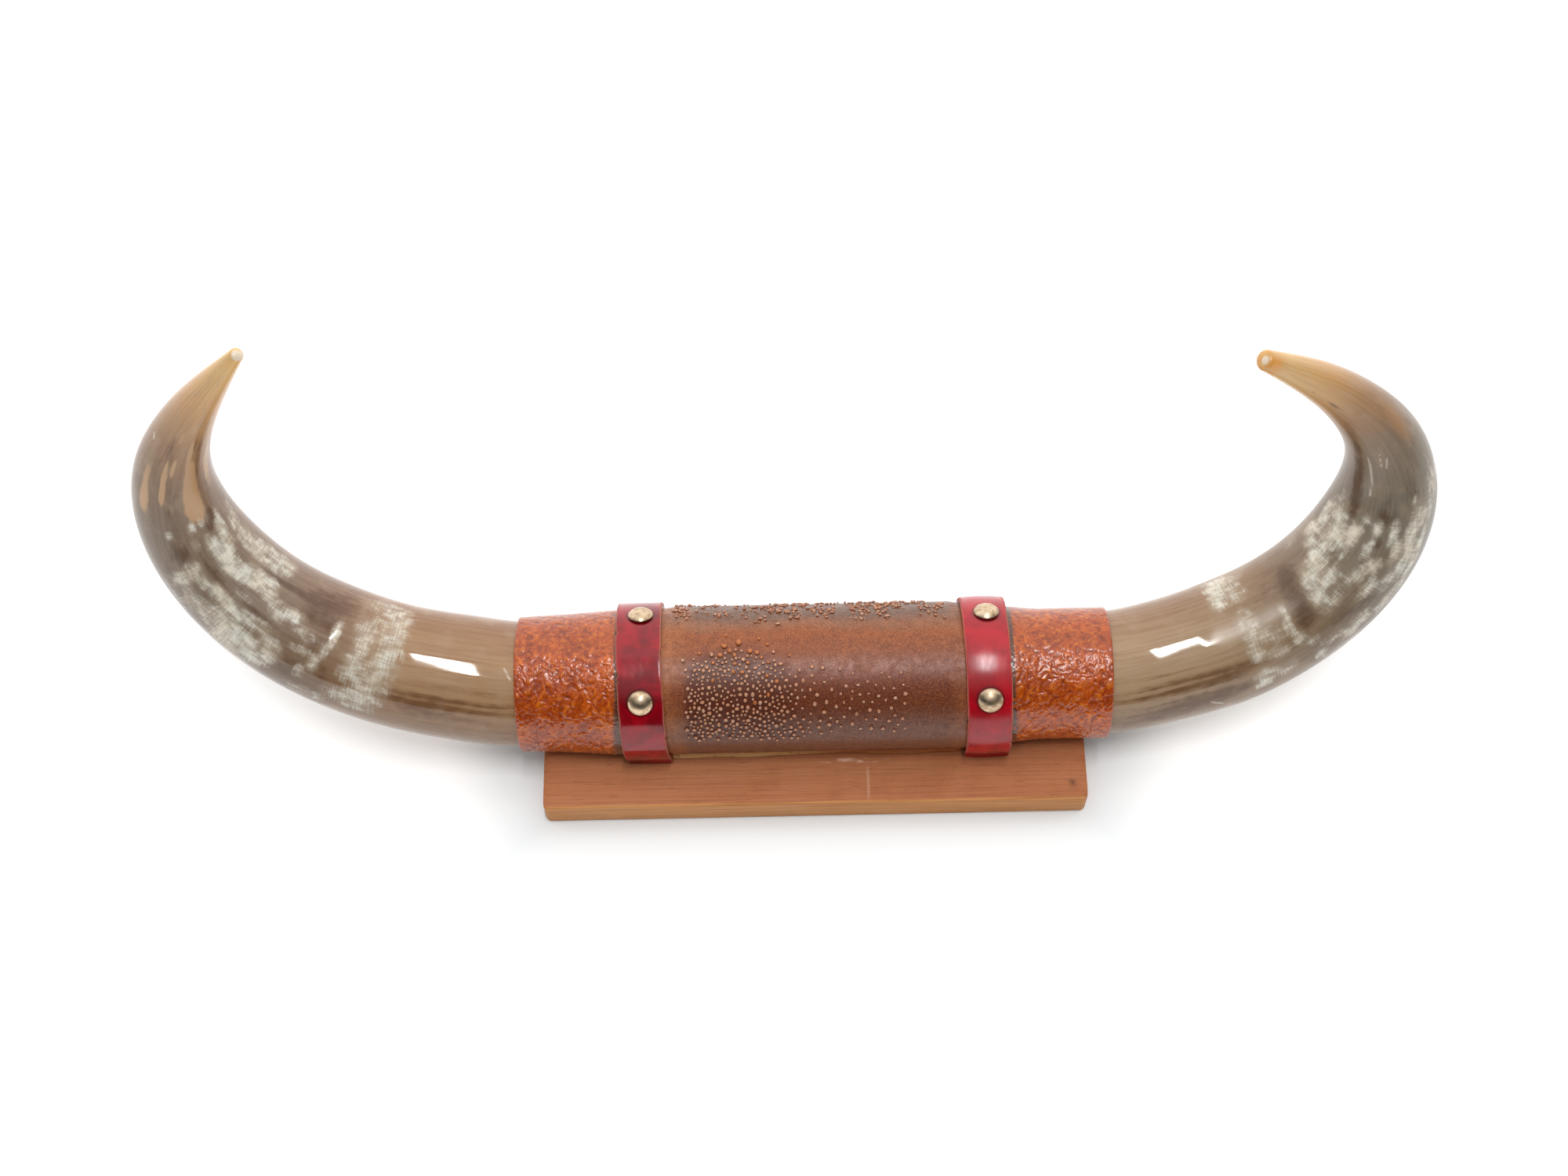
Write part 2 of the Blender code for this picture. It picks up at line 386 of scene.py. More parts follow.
# Depth of the horns' dents and rings in millimetres, and how far they stay inside the CAD's box
DENT_DEPTH = 0.08
RING_DEPTH = 0.07
CAD_CLEARANCE = 0.20
SHALLOW = 0.02  # all three together are at most this part of the radius
RINGS_FROM = (110, 170)  # the rings come in between these lengths, in millimetres


def smooth_line(points, start, count):
    """Cubic spline through the points that leaves the first one in the start direction."""
    points = np.array(points, dtype=float)
    steps = np.linalg.norm(np.diff(points[:, :3], axis=0), axis=1)
    knots = np.concatenate([[0.0], np.cumsum(steps)])
    size = len(points)
    system = np.eye(size)
    target = np.zeros_like(points)
    system[0, :2] = 2 * steps[0], steps[0]
    target[0] = 6 * ((points[1] - points[0]) / steps[0] - np.array(start))
    for i in range(1, size - 1):
        before, after = steps[i - 1], steps[i]
        system[i, i - 1 : i + 2] = before, 2 * (before + after), after
        rise = (points[i + 1] - points[i]) / after
        target[i] = 6 * (rise - (points[i] - points[i - 1]) / before)
    bend = np.linalg.solve(system, target)
    read = np.linspace(0, knots[-1], count)
    index = np.clip(np.searchsorted(knots, read, side="right") - 1, 0, size - 2)
    span = steps[index][:, None]
    b = ((read - knots[index])[:, None]) / span
    a = 1 - b
    curve = a * points[index] + b * points[index + 1]
    curve += ((a**3 - a) * bend[index] + (b**3 - b) * bend[index + 1]) * span**2 / 6
    return curve


def horn_line(side):
    """Middle line, radius and length so far for every ring, the rounded tip among them."""
    line = smooth_line(HORN_LINE[side], (SIDES[side], 0, 0, 0), HORN_RINGS)
    heading = line[-1, :3] - line[-2, :3]
    heading /= np.linalg.norm(heading)
    end, radius = line[-1, :3], line[-1, 3]
    tip = []
    for i in range(1, TIP_RINGS + 1):
        turn = 0.97 * math.pi / 2 * i / TIP_RINGS
        tip.append((*(end + heading * TIP_ROUND[side] * math.sin(turn)), radius * math.cos(turn)))
    line = np.vstack([line, tip])
    length = np.concatenate([[0], np.cumsum(np.linalg.norm(np.diff(line[:, :3], axis=0), axis=1))])
    return line[:, :3], line[:, 3], length


def carried_frames(path):
    """Two directions across the path at each point, carried along it without twist."""
    along = np.gradient(path, axis=0)
    along /= np.linalg.norm(along, axis=1)[:, None]
    across = np.zeros_like(path)
    previous = VIEW_OUT
    for i, heading in enumerate(along):
        previous = previous - heading * (heading @ previous)
        previous = previous / np.linalg.norm(previous)
        across[i] = previous
    return across, np.cross(along, across)


# Marks on the horns: (length from the core end in mm, angle in degrees, half length in mm, half width
# in degrees, strength). The angle is 0 towards the photograph's camera. On the left horn it grows
# towards the upper side, and on the right horn towards the lower side.
CLOUDS = {
    "left": [
        (77, 48, 9, 14, 0.5), (75, 24, 6, 15, 0.6), (75, 2, 6, 12, 0.6), (79, -18, 7, 12, 0.65),
        (82, -37, 8, 10, 0.65), (86, 62, 10, 10, 0.4), (91, 30, 6, 14, 0.4), (89, 12, 4, 9, 0.6),
        (91, -6, 5, 8, 0.6), (92, -19, 5, 6, 0.7), (92, -44, 9, 9, 0.5), (84, -54, 8, 6, 0.45),
        (105, 14, 2.2, 12, 0.8), (107, -6, 2.2, 8, 0.75), (110, -22, 2.5, 8, 0.7), (115, -36, 3, 8, 0.5),
        (120, 0, 8, 5, 0.35), (118, -14, 7, 5, 0.45), (131, 11, 6, 6, 0.85), (138, 3, 5, 5, 0.7),
        (133, -24, 5, 6, 0.75), (131, -38, 4, 10, 0.75), (138, -52, 6, 10, 0.8), (146, -40, 9, 10, 0.7),
        (143, -14, 9, 6, 0.5), (147, 13, 7, 6, 0.55), (157, 24, 8, 7, 0.9), (168, 18, 10, 8, 0.95),
        (160, -3, 7, 5, 0.35), (180, 10, 11, 8, 1.0), (192, 17, 9, 9, 1.0), (201, 9, 6, 7, 0.9),
        (203, 28, 9, 6, 0.9), (214, 33, 7, 4, 0.75), (156, -20, 9, 6, 0.85), (171, -18, 12, 6, 0.75),
        (158, -35, 12, 9, 0.8), (152, -54, 10, 10, 0.8), (172, -48, 12, 9, 0.55), (184, -24, 8, 6, 0.6),
        (190, -44, 4, 12, 0.75), (194, -24, 4, 8, 0.55), (206, -8, 4, 5, 0.4), (218, -5, 4, 5, 0.8),
        (216, -35, 2.5, 5, 0.6), (219, 8, 4, 4, 0.5), (153, 55, 8, 10, 0.65), (166, 58, 10, 8, 0.6),
        (180, 52, 10, 8, 0.55), (160, 42, 10, 5, 0.6), (178, 40, 12, 4, 0.55), (196, 48, 10, 7, 0.5),
        (208, 58, 9, 8, 0.4), (182, -70, 14, 8, 0.3), (150, -74, 14, 8, 0.5), (110, -60, 10, 8, 0.35),
    ],
    "right": [
        (72, -42, 4.5, 9, 0.8), (75, -58, 6, 9, 0.8), (78, -74, 7, 9, 0.7), (84, -44, 7, 9, 0.5),
        (86, -62, 7, 9, 0.5), (80, 52, 4, 6, 0.9), (81, 40, 5, 6, 0.6), (80, 17, 4, 7, 0.7),
        (84, 0, 7, 9, 0.4), (82, -16, 6, 9, 0.4), (91, 46, 6, 7, 0.55), (92, 24, 6, 6, 0.45),
        (95, 8, 6, 7, 0.35), (104, 22, 3, 6, 0.75), (102, 8, 2.5, 6, 0.5), (104, -7, 2.5, 8, 0.6),
        (109, 32, 4, 5, 0.5), (110, 56, 3, 6, 0.7), (117, 46, 8, 6, 0.4), (127, 55, 5, 6, 0.75),
        (134, 48, 5, 6, 0.7), (142, 60, 7, 6, 0.5), (126, -4, 5, 10, 0.75), (130, -20, 6, 9, 0.75),
        (130, 12, 8, 7, 0.5), (138, -8, 8, 9, 0.75), (140, -28, 6, 9, 0.75), (146, -46, 5, 8, 0.7),
        (154, -58, 6, 8, 0.75), (152, -30, 8, 9, 0.65), (150, 10, 7, 6, 0.55), (148, 28, 8, 6, 0.5),
        (160, 20, 6, 6, 0.7), (157, -12, 5, 6, 0.45), (165, -30, 9, 9, 1.0), (172, -14, 9, 7, 0.95),
        (178, -36, 6, 9, 0.85), (164, -52, 8, 8, 0.7), (176, -56, 8, 8, 0.55), (168, 5, 7, 4, 0.8),
        (182, 6, 5, 5, 0.85), (181, 24, 7, 5, 0.9), (172, 33, 6, 5, 0.7), (181, 44, 8, 6, 0.9),
        (167, 50, 8, 6, 0.8), (157, 42, 7, 6, 0.6), (172, 62, 12, 6, 0.75), (155, 62, 10, 6, 0.5),
        (189, 54, 6, 6, 0.6), (186, -8, 4, 5, 0.6), (192, 66, 10, 7, 0.45), (197, 45, 5, 5, 0.35),
        (190, -48, 8, 8, 0.35), (134, -66, 8, 8, 0.25), (205, 78, 12, 10, 0.35), (120, 74, 12, 10, 0.4),
    ],
}
SHADES = {
    "left": [
        (40, -20, 40, 2.4, 0.75), (38, -27, 40, 2.2, 0.6), (52, -36, 26, 9, 0.5), (60, -26, 16, 8, 0.4),
        (30, -9, 24, 1.6, 0.4), (112, 44, 16, 14, 0.55), (126, 36, 18, 8, 0.6), (112, 20, 5, 12, 0.6),
        (122, 22, 7, 9, 0.7), (104, -28, 3, 12, 0.5), (113, -8, 3, 10, 0.5), (122, -38, 6, 14, 0.5),
        (150, 34, 24, 2.6, 0.8), (150, -6, 12, 3, 0.7), (168, 2, 10, 3.5, 0.45), (186, -8, 14, 5, 0.55),
        (204, -30, 7, 12, 0.6), (197, -58, 8, 10, 0.4), (212, 16, 3.5, 5, 0.75), (221, 26, 6, 5, 0.8),
        (216, 22, 4, 4, 0.6), (205, 0, 5, 5, 0.5), (232, -24, 18, 12, 0.4), (262, 16, 14, 3, 0.6),
        (276, 12, 9, 6, 0.6), (280, 0, 5, 4, 0.55), (266, -36, 6, 4, 0.5), (274, -46, 10, 7, 0.6),
        (258, -58, 12, 6, 0.35), (290, 6, 7, 5, 0.3), (248, 33, 14, 3, 0.5),
    ],
    "right": [
        (42, 28, 30, 2.4, 0.85), (45, 20, 34, 2.4, 0.75), (30, 10, 26, 1.4, 0.4), (55, 32, 22, 2, 0.5),
        # The wide marks at (56, 46) and (30, 54) darken the lower side near the base: partly the horn's own
        # tone and partly painted shade
        (34, 40, 24, 1.6, 0.35), (70, 24, 14, 6, 0.6), (56, 46, 26, 9, 0.7), (30, 54, 26, 11, 0.6),
        (114, -10, 6, 22, 0.7), (119, -34, 8, 12, 0.75), (112, 10, 5, 8, 0.6), (128, 30, 9, 8, 0.5),
        (141, 38, 10, 6, 0.5), (101, -30, 10, 12, 0.35), (159, 8, 3, 4, 0.6), (173, 13, 5, 3, 0.65),
        (190, 10, 6, 8, 0.5),
        (186, -24, 5, 5, 0.6), (197, -27, 10, 7, 0.85), (212, -31, 11, 8, 0.9), (228, -26, 10, 8, 0.75),
        (241, -16, 7, 7, 0.75), (252, -12, 9, 8, 0.5), (262, -2, 12, 7, 0.3), (284, 16, 4, 3.2, 0.85),
        (281, 20, 7, 4, 0.4), (196, 12, 12, 22, 0.35), (205, 44, 12, 12, 0.4), (301, 18, 0.8, 2, 0.9),
    ],
}
TONGUES = {
    "left": [
        (230, 7, 11, 13, 1.0), (246, 5, 11, 12, 1.0), (259, 3, 8, 8.5, 0.9), (271, -5, 8, 5, 0.85),
        (279, -7, 5, 4, 0.6), (262, -28, 7, 3.6, 0.9), (242, -38, 7, 5, 0.9), (254, -39, 8, 5, 0.8),
        (262, -41, 6, 3, 0.5), (236, -66, 9, 9, 0.8), (250, -68, 9, 8, 0.6), (284, -34, 7, 6, 0.5),
        (292, -18, 8, 8, 0.6), (262, 38, 16, 7, 0.8), (246, 44, 12, 7, 0.4),
    ],
    "right": [
        (239, 70, 10, 12, 0.55), (250, 84, 14, 14, 0.6), (262, 60, 10, 10, 0.5), (252, 42, 5, 4, 0.35),
    ],
}
# Orange stain behind the chip: distance from the tip's end in mm, angle
TIP_STAIN = {"left": [(-5.5, 55)], "right": [(-6.0, -45), (-4.5, 60)]}
# The chip at each tip: angle that it leans to, and how far from the tip's end it starts in mm
TIP_CHIP = {"left": (-20, 1.5), "right": (60, 0.3)}
# Thin light scratches: start and end as (length, angle), half width in mm
SCRATCHES = {
    "left": [((14, 6), (17, 15), 0.22), ((105, 22), (106, 4), 0.25), ((271, -87), (273, -94), 0.5)],
    "right": [
        ((204, -10), (221, -8), 0.3), ((219, -8), (233, -6), 0.45), ((54, 54), (59, 61), 0.3),
        ((224, 16), (230, 22), 0.25), ((226, 10), (234, 14), 0.2),
    ],
}


def degrees_apart(first, second):
    return (first - second + 180) % 360 - 180


def spread(patches, length, angle):
    """Soft union of elliptical marks, from 0 to 1."""
    clear = np.ones(np.broadcast(length, angle).shape)
    for along, turn, half_length, half_width, strength in patches:
        reach = ((length - along) / half_length) ** 2 + (degrees_apart(angle, turn) / half_width) ** 2
        clear = clear * (1 - strength * np.exp(-(reach**1.3) * 0.7))
    return 1 - clear


def marks_behind(salt, count=46):
    """Marks for the half of a horn that the photograph doesn't show."""
    rng = np.random.default_rng(salt)
    marks = []
    for _ in range(count):
        along = rng.uniform(72, 215)
        turn = 180 + rng.uniform(-85, 85)
        marks.append((along, turn, rng.uniform(5, 12), rng.uniform(6, 12), rng.uniform(0.35, 0.9)))
    return marks


def scratch_field(scratches, length, angle):
    field = np.zeros(np.broadcast(length, angle).shape)
    around = TURN_RADIUS * math.radians(1)
    for (from_along, from_turn), (to_along, to_turn), half_width in scratches:
        run = np.array([to_along - from_along, (to_turn - from_turn) * around])
        offset = joined(length - from_along, degrees_apart(angle, from_turn) * around)
        part = np.clip(offset @ run / (run @ run), 0, 1)
        away = np.linalg.norm(offset - part[..., None] * run, axis=-1)
        field = np.maximum(field, 1 - smoothstep(away, half_width * 0.6, half_width * 2.4))
    return field


def make_horn(side, surface):
    path, radius, length = horn_line(side)
    across, beside = carried_frames(path)
    angle = np.linspace(0, 2 * math.pi, HORN_AROUND, endpoint=False)
    cos, sin = np.cos(angle), np.sin(angle)
    outward = cos[None, :, None] * across[:, None] + sin[None, :, None] * beside[:, None]
    strand = joined(length[:, None], TURN_RADIUS * cos, TURN_RADIUS * sin)
    rings = 0.5 + 0.5 * noise(strand * [1, 0.03, 0.03], 0.16, 5)
    rings = rings * smoothstep(length, *RINGS_FROM)[:, None]
    dents = 0.5 + 0.5 * layered(strand, 0.03, 2, 9)
    depth = DENT_DEPTH * dents + RING_DEPTH * rings + CAD_CLEARANCE
    depth = np.minimum(radius[:, None] * SHALLOW, depth)
    slope = np.interp(length, *zip(*HORN_SLOPE[side]))
    swell = np.concatenate([[0], np.cumsum((slope[1:] + slope[:-1]) / 2 * np.diff(length))])
    facing = np.clip(np.cos(angle - math.radians(HORN_SLOPE_TURN[side])), 0, 1) ** 1.5
    grid = path[:, None] + (radius[:, None] + swell[:, None] * facing - depth)[..., None] * outward
    obj = sweep(f"horn_{side}_shaped", AXIS + grid * MM)
    degrees = np.degrees(angle)[None, :]
    along = length[:, None]
    end = length[-1]
    stains = [(end + at, turn, 3.5, 40, 1.0) for at, turn in TIP_STAIN[side]]
    hold(obj, strand.shape, strand=strand)
    hold(
        obj,
        outward.shape[:2],
        along=along / end,
        upper=0.5 - 0.5 * SIDES[side] * sin,
        scratch=scratch_field(SCRATCHES[side], along, degrees),
        chip=chip_field(side, along, degrees, end),
        cloud=spread(CLOUDS[side] + marks_behind(11), along, degrees),
        shade=spread(SHADES[side], along, degrees),
        tongue=spread(TONGUES[side], along, degrees),
        stain=spread(stains, along, degrees),
    )
    finish_piece(obj, surface, f"horn_{side}")


def chip_field(side, length, angle, total):
    """Pale broken patch at the very tip."""
    turn, start = TIP_CHIP[side]
    lean = 0.9 * np.cos(np.radians(angle - turn))
    return smoothstep(length + lean, total - start, total - start + 0.8)


# Colour along each horn, as on screen, at parts of its length
HORN_GROUND = {
    "left": [
        (0.0, (168, 132, 96)), (0.19, (168, 134, 100)), (0.30, (134, 108, 86)), (0.45, (137, 120, 104)),
        (0.62, (139, 121, 104)), (0.70, (142, 114, 88)), (0.78, (168, 130, 92)), (0.88, (216, 167, 110)),
        (0.96, (236, 192, 122)), (1.0, (238, 188, 96)),
    ],
    "right": [
        (0.0, (176, 146, 114)), (0.20, (164, 138, 108)), (0.32, (132, 110, 86)), (0.45, (134, 121, 104)),
        (0.60, (129, 121, 107)), (0.70, (136, 116, 94)), (0.78, (164, 122, 78)), (0.87, (214, 164, 102)),
        (0.96, (232, 190, 126)), (1.0, (226, 172, 96)),
    ],
}
# The tongues' mask span and colour
HORN_TONGUE = {"left": ((0.30, 0.70), (198, 158, 116)), "right": ((0.05, 0.95), (168, 122, 78))}
# Where the polish gives way to a satin surface: from and to as parts of the length, and both roughnesses
HORN_SATIN = {"left": (0.33, 0.45, 0.065, 0.24), "right": (0.165, 0.205, 0.065, 0.28)}


def horn_surface(side):
    s = Surface(f"polished_horn_{side}")
    strand = s.held("strand", "Vector")
    along = s.held("along")
    upper = s.held("upper")
    mark = s.held("cloud")
    fine = s.noise(strand, (0.09, 1.4, 1.4), 3, 0.6)
    lines = s.noise(strand, (0.02, 0.45, 0.45), 3, 0.55)
    cross = s.noise(strand, (1.5, 0.10, 0.10), 2, 0.5)
    broad = s.noise(strand, 0.07, 3, 0.55, 0.4)
    blotch = s.noise(strand, (0.17, 0.24, 0.24), 3, 0.5, 0.2)
    speck = s.noise(strand, 0.75, 3, 0.7)
    near_core = s.step(along, 0.17, 0.28, 1.0, 0.0)
    shade = s.total((s.held("shade"), 1.0), (fine, 0.5), (blotch, 0.8), (0.65, -1.0))
    tongue = s.total((s.held("tongue"), 1.0), (blotch, 0.5), (fine, 0.4), (0.45, -1.0))
    haze = s.total((mark, 1.0), (broad, 1.0), (0.5, -1.0))
    grain = s.total((blotch, 1.5), (cross, 0.85), (fine, 0.85), (speck, 0.4), (1.8, -1.0))
    cloud = s.total((mark, 0.85), (s.times(grain, s.step(mark, 0.02, 0.30)), 1.1))
    tongue_span, tongue_colour = HORN_TONGUE[side]
    ground = s.paint(
        s.ramp(along, HORN_GROUND[side]),
        # Warmer on the upper side, and darker on the lower side, which is painted shade
        (upper, (0.55, 1.0), 0.5, (250, 228, 214), "MULTIPLY"),
        (upper, (0.42, 0.0), 0.5, (222, 220, 218), "MULTIPLY"),
        # Near the core the upper and lower sides are darkened further: painted shade that leaves a lighter
        # middle band as a painted sheen
        (s.times(s.step(upper, 0.62, 0.95), near_core), None, 0.75, (212, 204, 200), "MULTIPLY"),
        (s.times(s.step(upper, 0.40, 0.05), near_core), None, 0.6, (212, 204, 200), "MULTIPLY"),
        (lines, (0.40, 0.64), 0.30, (200, 170, 140), "MULTIPLY"),
        (fine, (0.45, 0.75), 0.22, (205, 190, 175), "MULTIPLY"),
        (broad, (0.45, 0.7), 0.25, (172, 146, 118)),
        (shade, (0.15, 0.85), 0.75, (166, 136, 114), "MULTIPLY"),
        (tongue, tongue_span, 0.85, tongue_colour),
        (haze, (0.05, 0.70), 0.5, (174, 160, 141)),
        (cloud, (0.05, 1.2), 0.95, s.mix(s.step(broad, 0.4, 0.6), rgb(228, 226, 212), rgb(230, 220, 200))),
        (s.held("stain"), None, 0.8, (222, 150, 58)),
        (s.held("scratch"), None, 0.65, (228, 214, 196)),
        (s.held("chip"), None, 0.85, (232, 218, 200)),
    )
    height = s.total((fine, 0.5), (cross, 0.35), (s.held("scratch"), -0.6))
    return s.finish(
        Base_Color=ground,
        Roughness=s.math("ADD", s.step(along, *HORN_SATIN[side]), s.step(cloud, 0.0, 0.9, 0, 0.02)),
        IOR=1.5,
        Normal=s.bump(height, 0.05, 0.0003),
    )


# Leather round the core

def collar_loops(side):
    """Closed loops across the collar leather, notched where it sits on the board."""
    sign = SIDES[side]
    reach = [(along * MM, radius * MM) for along, radius in COLLAR_OUTSIDE[side]]
    edge = abs(float(BOARD_LOW[0])) + GAP
    ease = 1.0 * MM
    stations = np.concatenate([
        np.linspace(COLLAR_LIP, edge, 116),
        np.linspace(edge + 0.01 * MM, edge + 0.02 * MM, 6),
        np.linspace(edge + 0.3 * MM, COLLAR_END - ease, 30),
        COLLAR_END - ease + ease * np.sin(np.linspace(0, math.pi / 2, 6))[1:],
    ])
    outer = np.interp(stations, *zip(*reach))
    far = np.clip((ease - (COLLAR_END - stations)) / ease, 0, 1)
    outer = outer - ease * 0.8 * (1 - np.sqrt(1 - far**2))
    inner = np.interp(stations, [COLLAR_START, COLLAR_END], [r * MM for r in COLLAR_INSIDE[side]])
    inner = np.where(stations < COLLAR_START, np.maximum(inner, wrap_end_radius(side) + 0.1 * MM), inner)
    opened = smoothstep(stations, edge, edge + 0.03 * MM)
    return sign * stations, outer, inner, opened


def wrap_end_radius(side):
    """Radius that the wrap is pared down to under the start of a collar."""
    return max(COLLAR_OUTSIDE[side][0][1] * MM - 0.9 * MM, WRAP_INNER + 0.05 * MM)


# Depths in millimetres of the collars' broad swells and creases, and how far the leather is set in
COLLAR_SWELL = 0.20
COLLAR_CREASE = 0.05
COLLAR_INSET = 0.22
COLLAR_WANDER = 1.6 * MM
# Length in mm of the dark start of a collar at the back, and how much more in front: frayed edge and
# painted shadow
FRAY_SHADOW_LENGTH = (3.2, 4.2)
COLLAR_AROUND = 500
LINING_AROUND = 60
CALM_BACK = (78, 104)  # the creases grow calmer between these angles, in degrees


def make_collar(side, surface):
    """Crinkled sleeve with a lining, open at the board and closed round the horn past its end."""
    stations, outer, inner, opened = (values[:, None] for values in collar_loops(side))

    def fan(radius, count):
        """Angles from the collar's foot in front round to its foot behind."""
        foot = np.radians(-89.3) * opened + foot_angle(radius) * (1 - opened)
        return foot + (math.pi - 2 * foot) * np.linspace(0, 1, count)

    angle, lining = fan(outer, COLLAR_AROUND), fan(inner, LINING_AROUND)[:, ::-1]
    away = np.abs(stations)
    base = bent_round(stations, outer, angle)
    wander = noise(base, 260, 3)[..., None] * COLLAR_WANDER
    crease = creases(base + wander, 430, 21) * 0.55 + creases(base - wander, 700, 31) * 0.45
    ridge = layered(base + wander, 520, 2, 23)
    calm = 1 - 0.55 * smoothstep(np.degrees(angle), *CALM_BACK)
    swell = layered(base, 110, 2, 41)
    folds = (COLLAR_RELIEF[side] * ridge - COLLAR_CREASE * crease) * calm
    lift = (COLLAR_SWELL * swell + folds - COLLAR_INSET) * MM
    thin = smoothstep(away, COLLAR_LIP, COLLAR_START + 1 * MM)
    skin = bent_round(stations, outer + lift * (0.4 + 0.6 * thin), angle)
    inside = bent_round(stations, inner, lining)
    obj = sweep(f"collar_{side}_leather", np.concatenate([skin, inside], axis=1))
    end = smoothstep(away, COLLAR_END - 1.4 * MM, COLLAR_END - 0.3 * MM)
    strap_edge = STRAP_WIDTH / 2 + abs(STRAP_MIDDLE[side])
    fray_shadow_length = (FRAY_SHADOW_LENGTH[0] + FRAY_SHADOW_LENGTH[1] * smoothstep(-np.degrees(angle), -60, -5)) * MM
    # The collar's start beside the strap: a frayed edge with painted shadow of the strap
    start = 1 - smoothstep(away, strap_edge + 0.3 * MM, strap_edge + fray_shadow_length)
    hold_lined(
        obj, angle, lining,
        edge=(end, end),
        tuck=(start, 0),
        crease=(crease * calm, 0),
        ridge=(0.5 + 0.5 * ridge, 0.5),
        rise=(0.5 + 0.5 * np.sin(angle), 0.5 + 0.5 * np.sin(lining)),
        calm=(calm, 1),
    )
    finish_piece(obj, surface, f"collar_{side}")


def collar_surface():
    s = Surface("crinkled_orange_leather")
    place = s.place()
    ridge = s.held("ridge")
    calm = s.held("calm")
    broad = s.noise(place, 55, 3, 0.6, 0.5)
    fold = s.math("ABSOLUTE", s.math("SUBTRACT", s.noise(place, 560, 2, 0.5, 1.2), 0.5))
    small = s.noise(place, 1250, 2, 0.6, 0.6)
    pores = s.noise(place, 2400, 2, 0.6)
    wrinkle = s.noise(place, 880, 2, 0.5, 1.4)
    tuck = s.total((s.held("tuck"), 1.0), (small, 1.2), (0.7, -1.0))
    base = s.paint(
        s.mix(s.step(broad, 0.35, 0.65), rgb(204, 86, 8), rgb(168, 60, 4)),
        (small, (0.45, 0.68), 0.5, (212, 112, 18)),
        (pores, (0.5, 0.7), 0.3, (150, 50, 6)),
        # Darker in the hollows of the folds, wrinkles, ridges and creases and lighter on their crests:
        # painted shade and painted highlights
        (s.step(fold, 0.0, 0.045, 1, 0), None, 0.5, (112, 34, 4)),
        (wrinkle, (0.48, 0.36), 0.5, (126, 42, 4)),
        (wrinkle, (0.54, 0.68), 0.4, (226, 124, 26)),
        (ridge, (0.46, 0.24), 0.6, (116, 40, 6)),
        (ridge, (0.56, 0.8), 0.45, (230, 130, 34)),
        (s.held("crease"), (0.25, 0.8), 0.45, (120, 38, 6)),
        # Darker towards the top and back, where the creases are calmer: painted shade
        (calm, (1.0, 0.5), 0.6, (216, 222, 190), "MULTIPLY"),
        # Dull brown on the lower front that faces the board: painted reflection of the floor
        (s.step(s.held("rise"), 0.50, 0.26), None, 0.55, (140, 80, 48)),
        # Dark frayed edge beside the strap, partly painted shadow of the strap
        (tuck, (0.1, 0.65), 0.9, s.mix(s.step(small, 0.4, 0.6), rgb(54, 36, 28), rgb(104, 76, 58))),
        (s.held("edge"), None, 0.6, (160, 70, 34)),
    )
    relief = s.total((s.step(fold, 0.0, 0.16), 0.12), (wrinkle, 0.3))
    return s.finish(
        Base_Color=base,
        Roughness=s.step(small, 0.35, 0.7, 0.19, 0.26),
        Specular_IOR_Level=0.65,
        Normal=s.bump(s.times(relief, calm), 0.5, 0.0002),
    )


WRAP_ROWS = 236
WRAP_AROUND = 200
WRAP_LINING_AROUND = 40
WRAP_CROWN = 0.9 * MM  # the wrap stands this much prouder at the back
LIP_DEPTH = 2.8 * MM
LIP_OUT = 3.6 * MM
PARED = (4.5 * MM, 2.2 * MM)  # the leather is pared down between these distances inside the strap's edge
SWELL_DEPTH = 0.22 * MM
WRINKLE_DEPTH = 0.12 * MM


def wrap_crown(degrees):
    return WRAP_CROWN * smoothstep(degrees, 88, 112)


